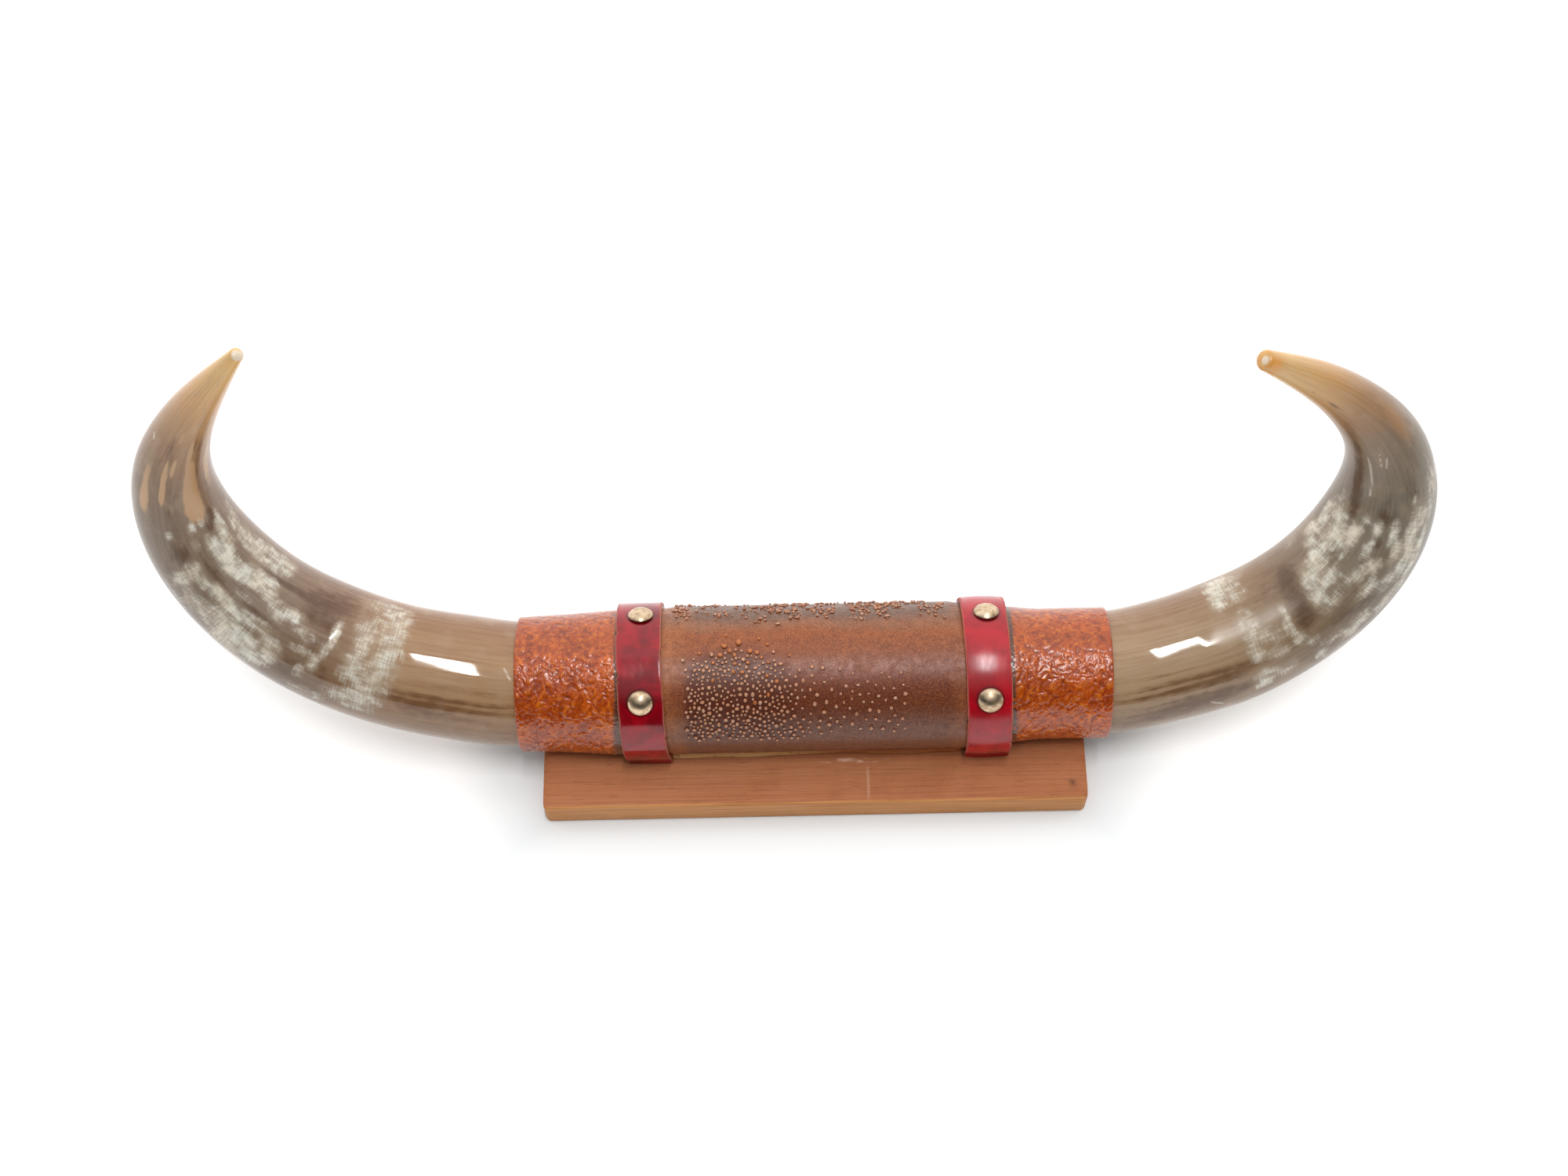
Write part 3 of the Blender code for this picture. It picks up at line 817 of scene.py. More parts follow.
def make_wrap(surface):
    """Smooth leather over the core: pared thin under the collars, with a flared raw edge on the board."""
    ease = 0.3 * MM
    middle_rows = np.linspace(-WRAP_HALF + ease, WRAP_HALF - ease, WRAP_ROWS)
    stations = np.concatenate([[-WRAP_HALF], middle_rows, [WRAP_HALF]])[:, None]
    away = np.abs(stations)
    strap_edge = STRAP_MIDDLE["right"] + STRAP_WIDTH / 2
    pared = smoothstep(away, strap_edge - PARED[0], strap_edge - PARED[1])
    end_radius = np.where(stations < 0, wrap_end_radius("left"), wrap_end_radius("right"))
    outer = (WRAP_OUTER - 0.1 * MM) * (1 - pared) + end_radius * pared
    foot = foot_angle(outer)
    angle = foot + (math.pi - 2 * foot) * np.linspace(0, 1, WRAP_AROUND)
    degrees = np.degrees(angle)
    base = bent_round(stations, outer, angle)
    above = base[..., 2] - SEAT
    inner_edge = STRAP_MIDDLE["right"] - STRAP_WIDTH / 2
    between = smoothstep(inner_edge - away, -2 * MM, 3 * MM)
    lip = (1 - smoothstep(above, 0.5 * MM, LIP_DEPTH)) * between
    ripple = 0.8 + 0.25 * noise(base * [1, 0, 0], 60, 5)
    swell = layered(base, 40, 2, 3) * SWELL_DEPTH * between
    wrinkle = creases(base * [0.5, 1, 1], 190, 8) * smoothstep(away, 55 * MM, 70 * MM) * WRINKLE_DEPTH
    crown = wrap_crown(degrees) * smoothstep(inner_edge - away, 0, 8 * MM)
    radius = outer + crown + (swell - wrinkle - 0.1 * MM) * (1 - pared) + lip * LIP_OUT * ripple
    skin = bent_round(stations, radius, angle)
    skin[..., 2] = np.maximum(skin[..., 2], SEAT)
    foot_in = foot_angle(WRAP_INNER)
    lining = np.linspace(math.pi - foot_in, foot_in, WRAP_LINING_AROUND)
    lining = np.broadcast_to(lining, (len(stations), WRAP_LINING_AROUND))
    inside = bent_round(stations, WRAP_INNER, lining)
    obj = sweep("centre_wrap_leather", np.concatenate([skin, inside], axis=1))
    raw = (1 - smoothstep(above, 2.0 * MM, 2.8 * MM)) * between
    hold_lined(
        obj, angle, lining,
        raw=(raw, 1),
        turned=(angle / math.pi, lining / math.pi),
        sideways=(stations / MM, stations / MM),
        pebble=(pebble_field(stations / MM, degrees), 0),
    )
    finish_piece(obj, surface, "centre_wrap")


def pebble_field(along, angle):
    """How thickly beads cover the wrap at a length in mm from the middle and an angle in degrees."""
    crowd = smoothstep(along, -66, -60) * (1 - smoothstep(along, 38, 50))
    crowd = crowd * (1 - 0.82 * smoothstep(along, -26, 4))
    low_edge = 13 + 8 * smoothstep(along, -10, 20) + 2 * np.sin(along / 9)
    high_edge = 92 - 16 * smoothstep(along, -22, 0) + 4 * np.sin(along / 7 + 1)
    above = smoothstep(angle, low_edge - 3, low_edge + 4)
    return crowd * above * (1 - smoothstep(angle, high_edge - 16, high_edge + 3))


def wrap_surface():
    s = Surface("brown_leather")
    place = s.place()
    side = s.held("sideways")
    broad = s.noise(place, 26, 3, 0.6, 0.4)
    streak = s.noise(place, (10, 60, 60), 3, 0.6)
    mottle = s.noise(place, 230, 4, 0.65)
    speckle = s.noise(place, 1500, 2, 0.7)
    grain = s.cells(place, 1100, "DISTANCE_TO_EDGE")
    turned = s.total((s.held("turned"), 1.0), (broad, 0.16), (streak, 0.16), (0.16, -1.0))
    # Colour round the wrap: partly the leather's tone and partly painted light and shade, darker on the
    # front-lower side and tan near the top
    ground = s.ramp(turned, [
        (0.0, (110, 66, 46)), (0.13, (98, 54, 36)), (0.30, (104, 42, 14)), (0.40, (126, 56, 22)),
        (0.48, (140, 70, 28)), (0.57, (150, 78, 34)), (0.63, (140, 88, 58)), (0.69, (98, 74, 60)),
    ])
    border = s.total((side, 1.0), (broad, 30.0), (15.0, -1.0))
    cut = s.mix(s.step(side, -20, 30), rgb(240, 184, 120), rgb(192, 114, 60))
    raw = s.total((s.held("raw"), 1.0), (mottle, 1.0), (0.5, -1.0))
    base = s.paint(
        ground,
        (border, (-60, -76), 0.85, (168, 98, 52)),
        (border, (64, 80), 0.5, (156, 92, 54)),
        (mottle, (0.42, 0.68), 0.40, (96, 44, 22)),
        (speckle, (0.48, 0.66), 0.42, (188, 118, 72)),
        (speckle, (0.50, 0.34), 0.45, (74, 36, 20)),
        (s.held("pebble"), None, 0.7, (80, 34, 20)),
        (raw, (0.3, 0.7), 1, s.mix(s.step(mottle, 0.58, 0.74), cut, rgb(170, 110, 62))),
    )
    height = s.total((grain, 0.4), (mottle, 0.25), (speckle, 0.3))
    return s.finish(
        Base_Color=base,
        Roughness=s.step(mottle, 0.35, 0.7, 0.33, 0.48),
        Specular_IOR_Level=0.45,
        Normal=s.bump(height, 0.35, 0.0004),
    )


BEAD_RINGS = 3
BEAD_SIDES = 8
BEAD_TRIES = 9000
SCALE_COUNT = 480


def bead_template():
    """Points and faces of a flattened unit dome that is open below."""
    points = [(0, 0, 1)]
    for ring in range(1, BEAD_RINGS + 1):
        turn = math.pi / 2 * ring / BEAD_RINGS
        for i in range(BEAD_SIDES):
            around = 2 * math.pi * (i + 0.5 * (ring % 2)) / BEAD_SIDES
            rise = math.cos(turn) ** 0.45
            points.append((math.sin(turn) * math.cos(around), math.sin(turn) * math.sin(around), rise))
    faces = [(0, 1 + i, 1 + (i + 1) % BEAD_SIDES) for i in range(BEAD_SIDES)]
    for ring in range(BEAD_RINGS - 1):
        start = 1 + ring * BEAD_SIDES
        for i in range(BEAD_SIDES):
            after = (i + 1) % BEAD_SIDES
            faces.append((start + i, start + BEAD_SIDES + i, start + BEAD_SIDES + after, start + after))
    return np.array(points), faces


# Large orange beads at the upper left of the field: length from the middle in mm, angle, diameter in mm
LARGE_BEADS = [
    (-37, 95.3, 3.2), (-44.2, 92.7, 3.2), (-46.3, 85.4, 2.8), (-41.4, 89, 2.6), (-39.1, 85.4, 2.2),
    (-31.4, 88.2, 2.8), (-27.9, 87, 2.6), (-22.7, 93.7, 2.0), (-26.9, 98.4, 1.8), (-43.3, 101.7, 1.6),
    (-39.1, 78.4, 2.2), (-49.8, 79.6, 2.2), (-56.5, 87, 1.8), (-22.4, 79, 2.0), (-39.8, 72.1, 2.4),
    (-35.3, 71.7, 2.4), (-32.5, 79, 2.2), (-25.8, 83, 2.0), (-18.4, 64.3, 2.4), (-23.1, 68.7, 2.2),
    (-22.7, 54.3, 2.2), (-29.4, 48, 2.4), (-50, 66, 2.2), (-12, 84, 1.8),
]


def scatter_beads():
    """Rows of (length from the middle in mm, angle in degrees, diameter, height, warmth)."""
    rng = np.random.default_rng(4)
    kept = [(along, angle, size, size * 0.34, 1.0) for along, angle, size in LARGE_BEADS]
    for _ in range(BEAD_TRIES):
        along, angle = rng.uniform(-68, 52), rng.uniform(8, 96)
        density = float(pebble_field(np.array(along), np.array(angle)))
        if density < 0.06:
            continue
        size = rng.uniform(1.3, 2.5)
        room = size * 0.5 + rng.uniform(0.15, 0.5) + 3.0 * (1 - density) ** 2
        arc = math.radians(1) * WRAP_OUTER / MM
        if any(math.hypot(along - a, (angle - t) * arc) < room + d * 0.42 for a, t, d, _, _ in kept):
            continue
        kept.append((along, angle, size, size * rng.uniform(0.34, 0.46), rng.uniform(0, 0.45)))
    return kept


def scatter_scales():
    """Rough flakes along the top and down the back of the wrap."""
    rng = np.random.default_rng(9)
    kept = []
    while len(kept) < SCALE_COUNT:
        along, angle = rng.uniform(-70, 66), rng.normal(138, 13)
        if angle < 112 or angle > 168:
            continue
        clump = noise(np.array([along, angle * 0.65, 0.0]), 0.2, 7)
        if rng.random() > 0.5 + 1.1 * clump or rng.random() > (angle - 110) / 14:
            continue
        size = rng.uniform(0.8, 2.0)
        kept.append((along, angle, size, size * rng.uniform(0.25, 0.5), rng.uniform(0.0, 0.7)))
    return kept


def make_beads(name, beads, rough, salt, surface):
    """One mesh of domes, each turned, stretched and roughened a little."""
    rng = np.random.default_rng(salt)
    template, template_faces = bead_template()
    points, faces = [], []
    for along, angle, size, height, _ in beads:
        turn = math.radians(angle)
        foot = bent_round(along * MM, WRAP_OUTER - 0.35 * MM + wrap_crown(angle), turn)
        out, onward = facing_out(turn)
        spin = rng.uniform(0, 2 * math.pi)
        local = template * (1 + rough * rng.uniform(-1, 1, (len(template), 1)))
        x = local[:, 0] * math.cos(spin) - local[:, 1] * math.sin(spin)
        y = local[:, 0] * math.sin(spin) + local[:, 1] * math.cos(spin)
        stretch = rng.uniform(0.85, 1.15)
        half = size / 2 * MM
        rise = local[:, 2] * height * MM + 0.3 * MM * (local[:, 2] > 0.1)
        offset = len(points) * len(template)
        faces.extend([tuple(i + offset for i in face) for face in template_faces])
        flat = np.outer(x * half * stretch, [1, 0, 0]) + np.outer(y * half / stretch, onward)
        points.append(foot + flat + np.outer(rise, out))
    obj = mesh_object(name, np.concatenate(points), faces)
    warm = [[warmth] for *_, warmth in beads]
    hold(obj, (len(beads), len(template)), warm=warm, top=template[:, 2])
    finish_piece(obj, surface, None)


def bead_surface():
    s = Surface("bead_leather")
    mottle = s.noise(s.place(), 700, 3, 0.6)
    top = s.held("top")
    warm = s.held("warm")
    base = s.paint(
        s.mix(warm, rgb(106, 52, 30), rgb(166, 90, 42)),
        # Lighter crowns: painted highlights
        (top, (0.45, 0.95), 0.7, s.mix(warm, rgb(228, 178, 146), rgb(196, 116, 58))),
        # Darker round each bead's foot: painted shade
        (top, (0.35, 0.0), 0.7, (62, 28, 16)),
        (mottle, (0.45, 0.7), 0.5, (96, 48, 26)),
    )
    return s.finish(
        Base_Color=base,
        Roughness=s.step(mottle, 0.35, 0.7, 0.16, 0.28),
        Normal=s.bump(mottle, 0.2, 0.0002),
    )


# Straps and studs

# Sideways shift of each strap's middle in mm at an angle round the core in degrees
STRAP_SKEW = {
    "left": [(-35, 2.6), (0, 1.0), (51, 0.0), (90, -0.8), (121, -1.0), (215, -1.0)],
    "right": [(-35, 1.0), (0, 0.6), (48, 0.0), (90, -0.7), (117, -1.0), (215, -1.0)],
}
# Nicks in the strap edges: (angle, which edge, depth in mm, half length in degrees)
STRAP_NICKS = {
    "left": [
        (104, -1, 0.7, 2.0), (86, 1, 0.5, 2.2), (71, -1, 0.9, 1.6), (66, -1, 0.7, 1.2), (20, 1, 0.4, 1.5),
    ],
    "right": [(74, 1, 0.7, 1.5), (18, 1, 0.5, 2.0), (5, 1, 0.6, 1.5), (30, -1, 0.4, 2.0)],
}
STRAP_CROWN = {"left": 0.05, "right": 0.6}  # fall from each strap's middle to its edges, in millimetres
STRAP_TURNS = 320
STRAP_UNDER = 8  # points across the underside
STRAP_EASE = 0.9 * MM
STRAP_WAVE = 0.16 * MM
FLARE_OUT = 2.2 * MM
FLARE_HEIGHT = 4.5 * MM
STRAP_WOBBLE = {"left": 3, "right": 6}  # seeds
# Two reds, and the roughness of smooth and of scuffed leather
STRAP_LOOK = {
    "left": (rgb(162, 2, 22), rgb(114, 1, 13), (0.10, 0.15)),
    "right": (rgb(184, 4, 28), rgb(150, 2, 18), (0.21, 0.29)),
}


def make_strap(side, surface):
    """Leather band with rounded, nicked edges that leans a little and flares out on the board."""
    foot = foot_angle(STRAP_OUTER)
    angle = np.linspace(foot, math.pi - foot, STRAP_TURNS)[:, None]
    degrees = np.degrees(angle)
    half = STRAP_WIDTH / 2 + 0.2 * MM
    ease = STRAP_EASE
    rounding = half - ease * (1 - np.sin(np.linspace(0, math.pi / 2, 7)))
    flat = np.linspace(-half + ease, half - ease, 30)[1:-1]
    face = np.concatenate([-rounding[::-1], flat, rounding])
    past = np.clip((np.abs(face) - half + ease) / ease, 0, 1)
    face_depth = -ease * 0.8 * (1 - np.sqrt(1 - past**2))
    under = np.linspace(half, -half, STRAP_UNDER)
    width = np.concatenate([face, under])
    radius = np.concatenate([STRAP_OUTER - 0.25 * MM + face_depth, np.full(STRAP_UNDER, STRAP_INNER)])
    outer_face = np.concatenate([np.ones(len(face)), np.zeros(STRAP_UNDER)])
    sideways = np.broadcast_to(width, (STRAP_TURNS, len(width)))
    for at, which, nick, reach in STRAP_NICKS[side]:
        bite = nick * MM * np.exp(-(((degrees - at) / reach) ** 2))
        sideways = sideways - which * bite * smoothstep(which * sideways, half - 2.5 * MM, half)
    wobble = noise(degrees * [0.2, 0, 0], 1.0, STRAP_WOBBLE[side])[:, None]
    skew = np.interp(degrees, *zip(*STRAP_SKEW[side])) * MM
    along = sideways * (1 + 0.008 * wobble) + skew + STRAP_MIDDLE[side]
    wave = layered(joined(along * 60, degrees * 0.02, 0), 1.0, 2, 5) * STRAP_WAVE
    dish = (0.1 - (width / half) ** 2 * STRAP_CROWN[side]) * MM
    above = AXIS[2] + STRAP_OUTER * np.sin(angle) - SEAT
    flare = FLARE_OUT * (1 - smoothstep(above, 0.3 * MM, FLARE_HEIGHT)) * (degrees < 90)
    loops = bent_round(along, radius + (wave + dish + flare) * outer_face, angle)
    loops[..., 2] = np.maximum(loops[..., 2], SEAT)
    obj = sweep(f"strap_{side}_band", loops)
    rim = smoothstep(np.abs(width), half - 1.3 * MM, half - 0.2 * MM) * outer_face
    hold(obj, along.shape, rim=rim, near_stud=near_stud(side, degrees, along))
    finish_piece(obj, surface, f"strap_{side}")


def near_stud(side, degrees, along):
    """How close each strap point is to a nail, for the darker ring round it."""
    close = np.zeros(along.shape)
    for row in ("lower", "upper"):
        arc = np.radians(degrees - STUD_ANGLE[side, row]) * STRAP_OUTER
        away = np.hypot(along - STRAP_MIDDLE[side], arc)
        close = np.maximum(close, 1 - smoothstep(away, STUD_DIAMETER * 0.5, STUD_DIAMETER * 0.66))
    return close


def strap_surface(side):
    s = Surface(f"red_leather_{side}")
    place = s.place()
    broad = s.noise(place, 70, 3, 0.6, 0.5)
    scuff = s.noise(place, (260, 70, 70), 4, 0.7)
    grain = s.noise(place, 1700, 2, 0.6)
    rim = s.total((s.held("rim"), 1.0), (scuff, 0.9), (0.5, -1.0))
    bright, deep, gloss = STRAP_LOOK[side]
    base = s.paint(
        s.mix(s.step(broad, 0.35, 0.65, 0, 0.85), bright, deep),
        (scuff, (0.56, 0.74), 0.10, (206, 56, 62)),
        (grain, (0.45, 0.65), 0.18, (70, 2, 12)),
        (s.held("near_stud"), None, 0.6, (60, 12, 16)),
        (rim, (0.45, 0.95), 0.85, (168, 100, 74)),
    )
    height = s.total((grain, 0.35), (scuff, 0.4))
    return s.finish(
        Base_Color=base,
        Roughness=s.math("ADD", s.step(scuff, 0.4, 0.75, *gloss), s.times(s.held("rim"), 0.5)),
        Specular_IOR_Level=0.55,
        Normal=s.bump(height, 0.12, 0.0002),
    )


STUD_AROUND = 64
STUD_RINGS = 22


def make_stud(side, row, surface):
    """Domed nail head with a thin rolled rim, seated on the curve of the strap."""
    half = STUD_DIAMETER / 2
    dome = STUD_HEIGHT - 0.55 * MM
    ball = (half**2 + dome**2) / (2 * dome)
    turn = math.asin(half / ball) * np.arange(STUD_RINGS) / (STUD_RINGS - 1)
    profile = list(zip(ball * np.sin(turn), STUD_HEIGHT - ball + ball * np.cos(turn)))
    profile[0] = (0.02 * MM, profile[0][1])
    profile += [(half, 0.35 * MM), (half - 0.15 * MM, 0.1 * MM), (half - 0.9 * MM, 0.0)]
    angle = math.radians(STUD_ANGLE[side, row])
    out, onward = facing_out(angle)
    base = bent_round(STRAP_MIDDLE[side], STRAP_OUTER, angle)
    around = np.linspace(0, 2 * math.pi, STUD_AROUND, endpoint=False)
    rim = np.outer(np.cos(around), [1, 0, 0]) + np.outer(np.sin(around), onward)
    loops = np.array([base + reach * rim + out * rise for reach, rise in profile])
    dents = layered(loops, 260, 2, 17)[..., None] * 0.05 * MM
    obj = sweep(f"stud_{side}_{row}_head", loops + out * dents)
    hold(obj, loops.shape[:2], edge=[[reach / half] for reach, _ in profile])
    finish_piece(obj, surface, f"stud_{side}_{row}")


def stud_surface():
    s = Surface("worn_nickel")
    place = s.place()
    tarnish = s.noise(place, 320, 4, 0.7, 0.6)
    pit = s.step(s.cells(place, 900), 0.16, 0.08)
    worn = s.step(s.noise(place, 500), 0.58, 0.66)
    base = s.paint(
        s.mix(s.step(tarnish, 0.4, 0.7), rgb(216, 192, 162), rgb(170, 142, 110)),
        (s.held("edge"), (0.86, 1.0), 0.6, (110, 92, 70)),
        (s.times(pit, worn), None, 1, (60, 48, 36)),
    )
    return s.finish(
        Base_Color=base,
        Metallic=1.0,
        Roughness=s.step(tarnish, 0.35, 0.7, 0.27, 0.46),
        Normal=s.bump(s.total((tarnish, 0.5), (pit, -0.3)), 0.25, 0.0003),
    )


# Board and core

CORNER = 3.0 * MM
EDGE = 1.4 * MM  # rounding of the board's lower edges
BACK_EDGE = 1.5 * MM  # rounding of its upper edge at the back
# Places of the finer sections at each end, as parts of CORNER
END_STEPS = np.array([0, 0.02, 0.06, 0.12, 0.2, 0.3, 0.42, 0.55, 0.7, 0.85, 1.0])
DENT_AT = np.array([131, -43]) * MM
DENT_RADIUS = 1.6 * MM
DENT_DEEP = 0.6 * MM
PLANED_DEPTH = 0.18 * MM  # of the broad unevenness that the plane left
STREAK_DEPTH = 0.05 * MM
BOARD_STATIONS = 240
TOP_ACROSS = 34


def make_board(surface):
    """Board with uneven eased edges, softer corners in plan and a dent near the right front."""
    size = BOARD_HIGH - BOARD_LOW
    centre = (BOARD_HIGH + BOARD_LOW) / 2
    from_end = CORNER * END_STEPS
    inner = np.linspace(CORNER, size[0] - CORNER, BOARD_STATIONS)[1:-1]
    stations = np.concatenate([from_end, inner, size[0] - from_end[::-1]])
    close = np.minimum(stations, size[0] - stations)
    shrink = 1 - np.sqrt(np.clip(1 - np.clip(1 - close / CORNER, 0, 1) ** 2, 0, 1))
    quarter = np.linspace(0, math.pi / 2, 9)
    loops = []
    for along, tight in zip(stations - size[0] / 2, shrink):
        half_y = size[1] / 2 - CORNER * tight
        half_z = size[2] / 2 - EDGE * tight
        wear = 0.5 + 0.5 * noise(np.array([along * 30, 0.3, 0.7]), 1.0, 2)
        front = (1.3 + 0.9 * wear + 1.2 * smoothstep(along, 90 * MM, 138 * MM)) * MM
        loop = []
        corners = ((1, -1, -1, EDGE), (1, 1, 0, BACK_EDGE), (-1, 1, 1, front), (-1, -1, 2, EDGE))
        for sy, sz, start, radius in corners:
            for turn in quarter + start * math.pi / 2:
                y = sy * (half_y - radius) + radius * math.cos(turn)
                z = sz * (half_z - radius) + radius * math.sin(turn)
                loop.append((along, y, z))
            if start == 0:
                across = np.linspace(half_y - radius, front - half_y, TOP_ACROSS)[1:-1]
                loop.extend((along, y, half_z) for y in across)
        loops.append(loop)
    loops = np.array(loops)
    streaks = layered(loops * [0.15, 1, 1], 420, 2, 13) * STREAK_DEPTH
    face = layered(loops, 45, 2, 12) * PLANED_DEPTH + streaks
    worn = np.abs(face) + 0.03 * MM
    on_top = smoothstep(loops[..., 2], size[2] / 2 - 1 * MM, size[2] / 2 - 0.2 * MM)
    loops[..., 2] -= on_top * worn
    on_front = smoothstep(-loops[..., 1], size[1] / 2 - 1 * MM, size[1] / 2 - 0.2 * MM)
    loops[..., 1] += on_front * worn
    away = np.linalg.norm((loops + centre)[..., :2] - DENT_AT, axis=-1)
    loops[..., 2] -= on_top * DENT_DEEP * np.exp(-((away / DENT_RADIUS) ** 2))
    obj = sweep("board_planed", loops + centre)
    dent = np.exp(-((away / (DENT_RADIUS + 0.1 * MM)) ** 2)) * on_top
    front = smoothstep(-loops[..., 1], size[1] / 2 - 1.6 * MM, size[1] / 2 - 0.6 * MM)
    hold(obj, loops.shape[:2], dent=dent, front=front)
    finish_piece(obj, surface, "board")


def board_scratches(s, place):
    """A broken pale scuff beside the wrap and a faint line from it towards the front edge."""
    parts = s.parts(place)

    def within(axis, middle, inner, outer):
        off = s.math("ABSOLUTE", s.math("SUBTRACT", parts[axis], middle * MM))
        return s.step(off, inner * MM, outer * MM, 1, 0)

    broken = s.step(s.noise(place, (160, 420, 420), 3, 0.6), 0.46, 0.6)
    scuff = s.times(s.times(within(0, 20, 9, 20), within(1, -28, 0.6, 1.8)), broken)
    line = s.times(within(0, 27, 0.2, 1.1), within(1, -40, 5, 11))
    return s.total((scuff, 0.7), (line, 0.3))


def wood_surface(name, light, middle_tone, dark, is_board):
    s = Surface(name)
    place = s.place()
    grain = s.noise(place, (16, 900, 900), 4, 0.65, 0.1)
    bands = s.noise(place, (5, 75, 60), 3, 0.5, 0.8)
    pores = s.noise(place, (120, 1900, 1900), 2, 0.6)
    blotch = s.noise(place, 24, 4, 0.65, 0.3)
    cross = s.noise(place, (900, 60, 60), 2, 0.5)
    base = s.paint(
        s.mix(s.step(bands, 0.35, 0.65), rgb(*light), rgb(*middle_tone)),
        (grain, (0.42, 0.72), 0.45, dark),
        (pores, (0.58, 0.72), 0.45, (150, 128, 116), "MULTIPLY"),
        (blotch, (0.5, 0.72), 0.2, dark),
        (cross, (0.55, 0.8), 0.12, light),
    )
    if is_board:
        edge_tone = s.mix(s.step(grain, 0.4, 0.65), rgb(222, 158, 94), rgb(194, 128, 68))
        base = s.paint(
            base,
            (s.held("front"), None, 0.75, edge_tone),
            (s.held("dent"), None, 0.85, (62, 34, 24)),
            (board_scratches(s, place), None, 1, (232, 186, 160)),
        )
    height = s.total((grain, 0.6), (pores, -0.5), (cross, 0.12))
    return s.finish(
        Base_Color=base,
        Roughness=s.step(blotch, 0.3, 0.7, 0.50, 0.66),
        Specular_IOR_Level=0.3,
        Normal=s.bump(height, 0.30, 0.0005),
    )


# Studio

FLOOR_HALF = 6.0
FLOOR_POINTS = 13  # points along each side
# Painted light: the floor glows and washes out shadows; the glow fades beside the board, leaving a painted
# shadow round it
FLOOR_GLOW = 0.34
FLOOR_GLOW_AWAY = 0.06  # the glow reaches its full strength this far from the board
# Its faint cool colour beside the board, against the red cast of the leather
FLOOR_GLOW_NEAR = (0.03, 0.12, 0.15)
# The key light is a long narrow softbox far overhead, given by its direction from the core: the part of
# that direction along X and along Y, each with its width
KEY_DISTANCE = 20.0
KEY_ALONG_X = (0.060, 0.050)
KEY_ALONG_Y = (-0.11, 0.37)
KEY_RADIANCE = 60.0
FILL_SIZE = 1.6
FILL_HEIGHT = 1.5
FILL_RADIANCE = 0.35
FRONT_LOW_LEVEL = 0.04
FRONT_HIGH_LEVEL = 0.75
BACK_LEVEL = 1.35


def make_floor():
    steps = np.linspace(-FLOOR_HALF, FLOOR_HALF, FLOOR_POINTS)
    x, y = np.meshgrid(steps, steps, indexing="ij")
    obj = mesh_object("floor", joined(x, y, 0.0), grid_faces(FLOOR_POINTS, FLOOR_POINTS, False))
    s = Surface("white_floor")
    place = s.place()
    parts = s.parts(place)
    past = [s.math("SUBTRACT", s.math("ABSOLUTE", parts[i]), float(BOARD_HIGH[i])) for i in (0, 1)]
    clear = s.math("MAXIMUM", *past)
    obj.data.materials.append(s.finish(
        Base_Color=s.mix(s.noise(place, 3), rgb(243, 243, 243), rgb(247, 247, 247)),
        Roughness=0.9,
        # Painted light, weaker and cooler beside the board
        Emission_Color=s.mix(s.step(clear, 0.0, FLOOR_GLOW_AWAY), FLOOR_GLOW_NEAR, (1.0, 1.0, 1.0)),
        Emission_Strength=FLOOR_GLOW,
    ))


def hanging_light(name, place, size, radiance):
    """A level softbox that shines straight down, its sides along X and Y."""
    data = bpy.data.lights.new(name, "AREA")
    data.shape = "RECTANGLE"
    data.size, data.size_y = size
    data.energy = radiance * math.pi * size[0] * size[1]
    obj = bpy.data.objects.new(name, data)
    obj.location = place
    bpy.context.scene.collection.objects.link(obj)
    return obj


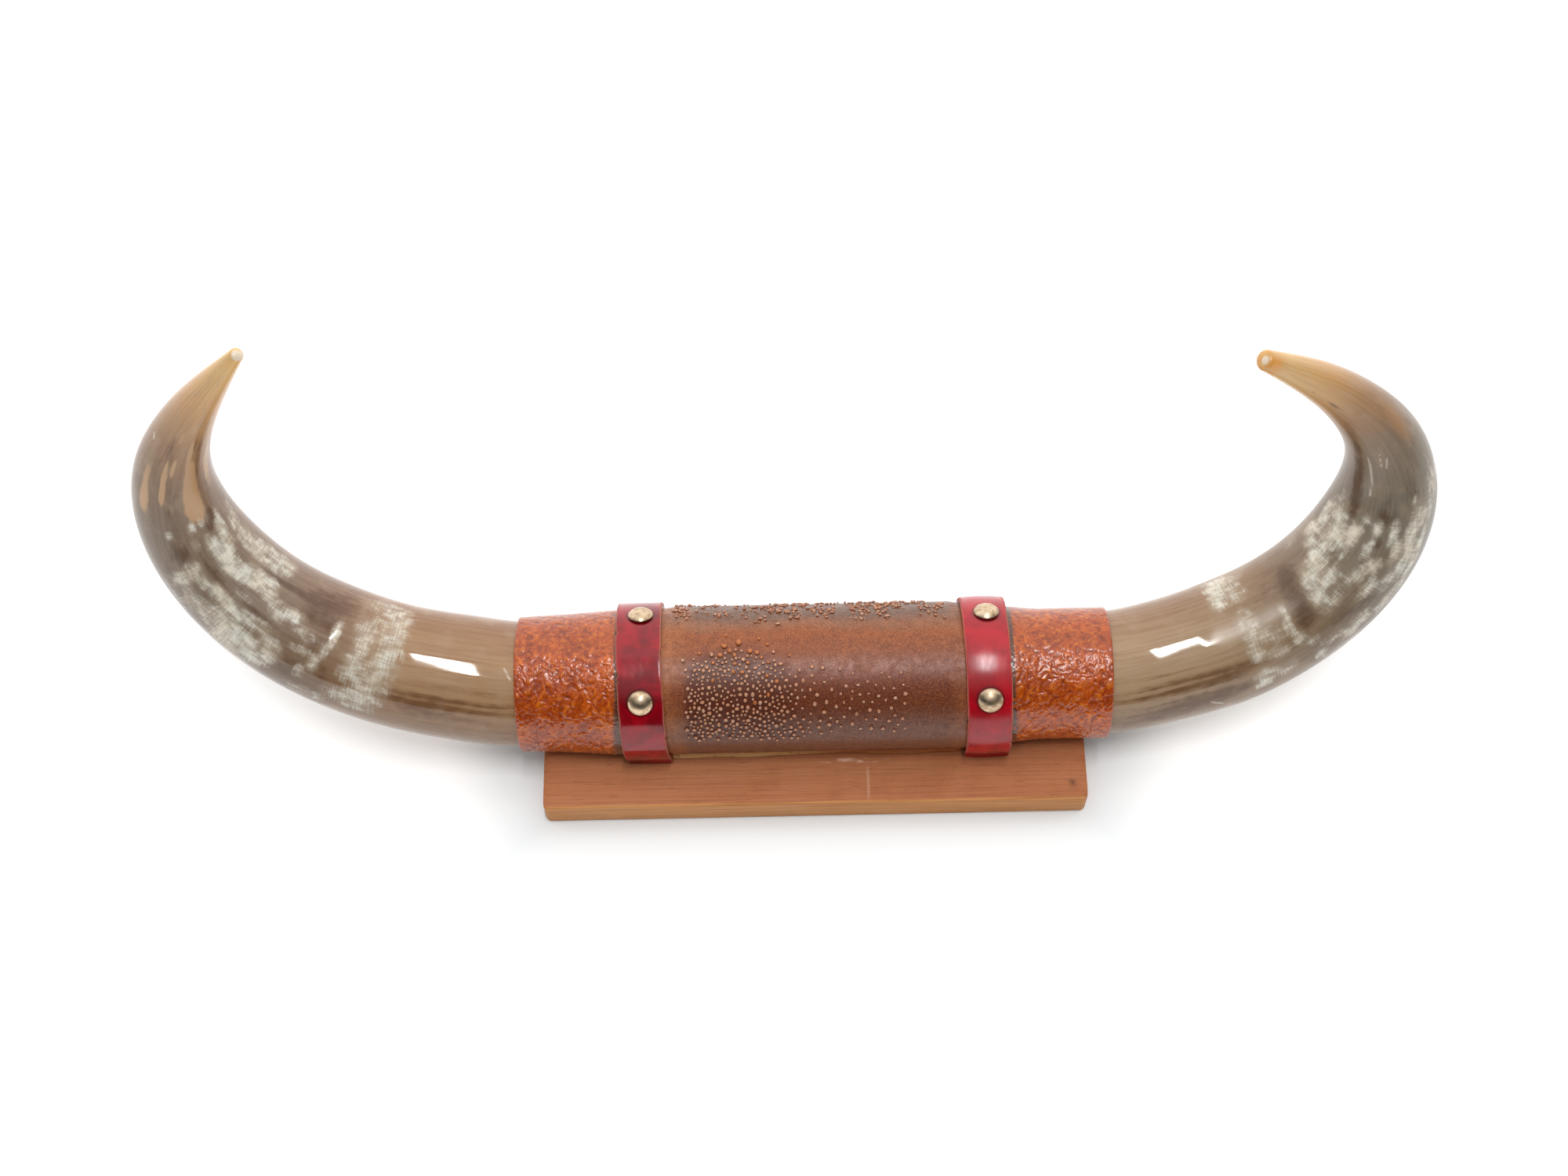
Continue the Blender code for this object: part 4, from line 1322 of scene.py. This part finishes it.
def make_lights():
    """A strip softbox, and surroundings that are bright behind the object and dark in front."""
    size = (KEY_ALONG_X[1] * KEY_DISTANCE, KEY_ALONG_Y[1] * KEY_DISTANCE)
    place = Vector(AXIS) + Vector((KEY_ALONG_X[0], KEY_ALONG_Y[0], 1)) * KEY_DISTANCE
    hanging_light("key_softbox", place, size, KEY_RADIANCE)
    above = Vector(AXIS) + Vector((0, -0.2, FILL_HEIGHT))
    fill = hanging_light("fill_softbox", above, (FILL_SIZE, FILL_SIZE), FILL_RADIANCE)
    fill.visible_glossy = False
    world = bpy.data.worlds.new("studio")
    bpy.context.scene.world = world
    world.use_nodes = True
    w = Nodes(world.node_tree)
    direction = w.parts(w.add("TexCoord").outputs["Generated"])
    high = w.step(direction["Z"], 0.5, 0.98, FRONT_LOW_LEVEL, FRONT_HIGH_LEVEL)
    level = w.step(direction["Y"], 0.06, 0.26, high, BACK_LEVEL)
    w.feed(w.nodes["Background"].inputs["Strength"], level)
    w.feed(w.nodes["Background"].inputs["Color"], (1, 1, 1))


def make_camera():
    """Pinhole camera that puts the core's middle at AIM_PIXEL, seen from the photograph's angle."""
    data = bpy.data.cameras.new("camera")
    data.sensor_width = SENSOR_WIDTH
    data.lens = SENSOR_WIDTH * FOCAL_PIXELS / IMAGE_SIZE[0]
    data.clip_end = 50
    cos, sin = math.cos(CAMERA_ROLL), math.sin(CAMERA_ROLL)
    right = (AIM_PIXEL[0] - IMAGE_SIZE[0] / 2) / FOCAL_PIXELS * CAMERA_DISTANCE
    up = -(AIM_PIXEL[1] - IMAGE_SIZE[1] / 2) / FOCAL_PIXELS * CAMERA_DISTANCE
    right, up = right * cos + up * sin, -right * sin + up * cos
    sideways = np.array([1.0, 0, 0])
    place = AXIS - right * sideways - up * VIEW_UP + CAMERA_DISTANCE * VIEW_OUT
    local_x = cos * sideways - sin * VIEW_UP
    local_y = sin * sideways + cos * VIEW_UP
    turned = Matrix((local_x, local_y, VIEW_OUT)).transposed()
    obj = bpy.data.objects.new("camera", data)
    obj.matrix_world = Matrix.Translation(place) @ turned.to_4x4()
    bpy.context.scene.collection.objects.link(obj)
    bpy.context.scene.camera = obj


def build():
    make_camera()
    make_lights()
    make_floor()
    bpy.context.scene.view_settings.view_transform = "Standard"

    for side in SIDES:
        make_horn(side, horn_surface(side))
    orange = collar_surface()
    for side in SIDES:
        make_collar(side, orange)
        make_strap(side, strap_surface(side))
    make_wrap(wrap_surface())
    bead_leather = bead_surface()
    make_beads("wrap_beads", scatter_beads(), 0.10, 5, bead_leather)
    make_beads("wrap_scales", scatter_scales(), 0.35, 6, bead_leather)
    nickel = stud_surface()
    for side, row in STUD_ANGLE:
        make_stud(side, row, nickel)
    make_board(wood_surface("board_wood_planed", (188, 120, 78), (184, 115, 73), (138, 76, 44), True))
    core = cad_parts["core"]
    turned_wood = wood_surface("core_wood_turned", (190, 150, 104), (170, 128, 84), (130, 92, 58), False)
    core.data.materials.clear()
    core.data.materials.append(turned_wood)


build()
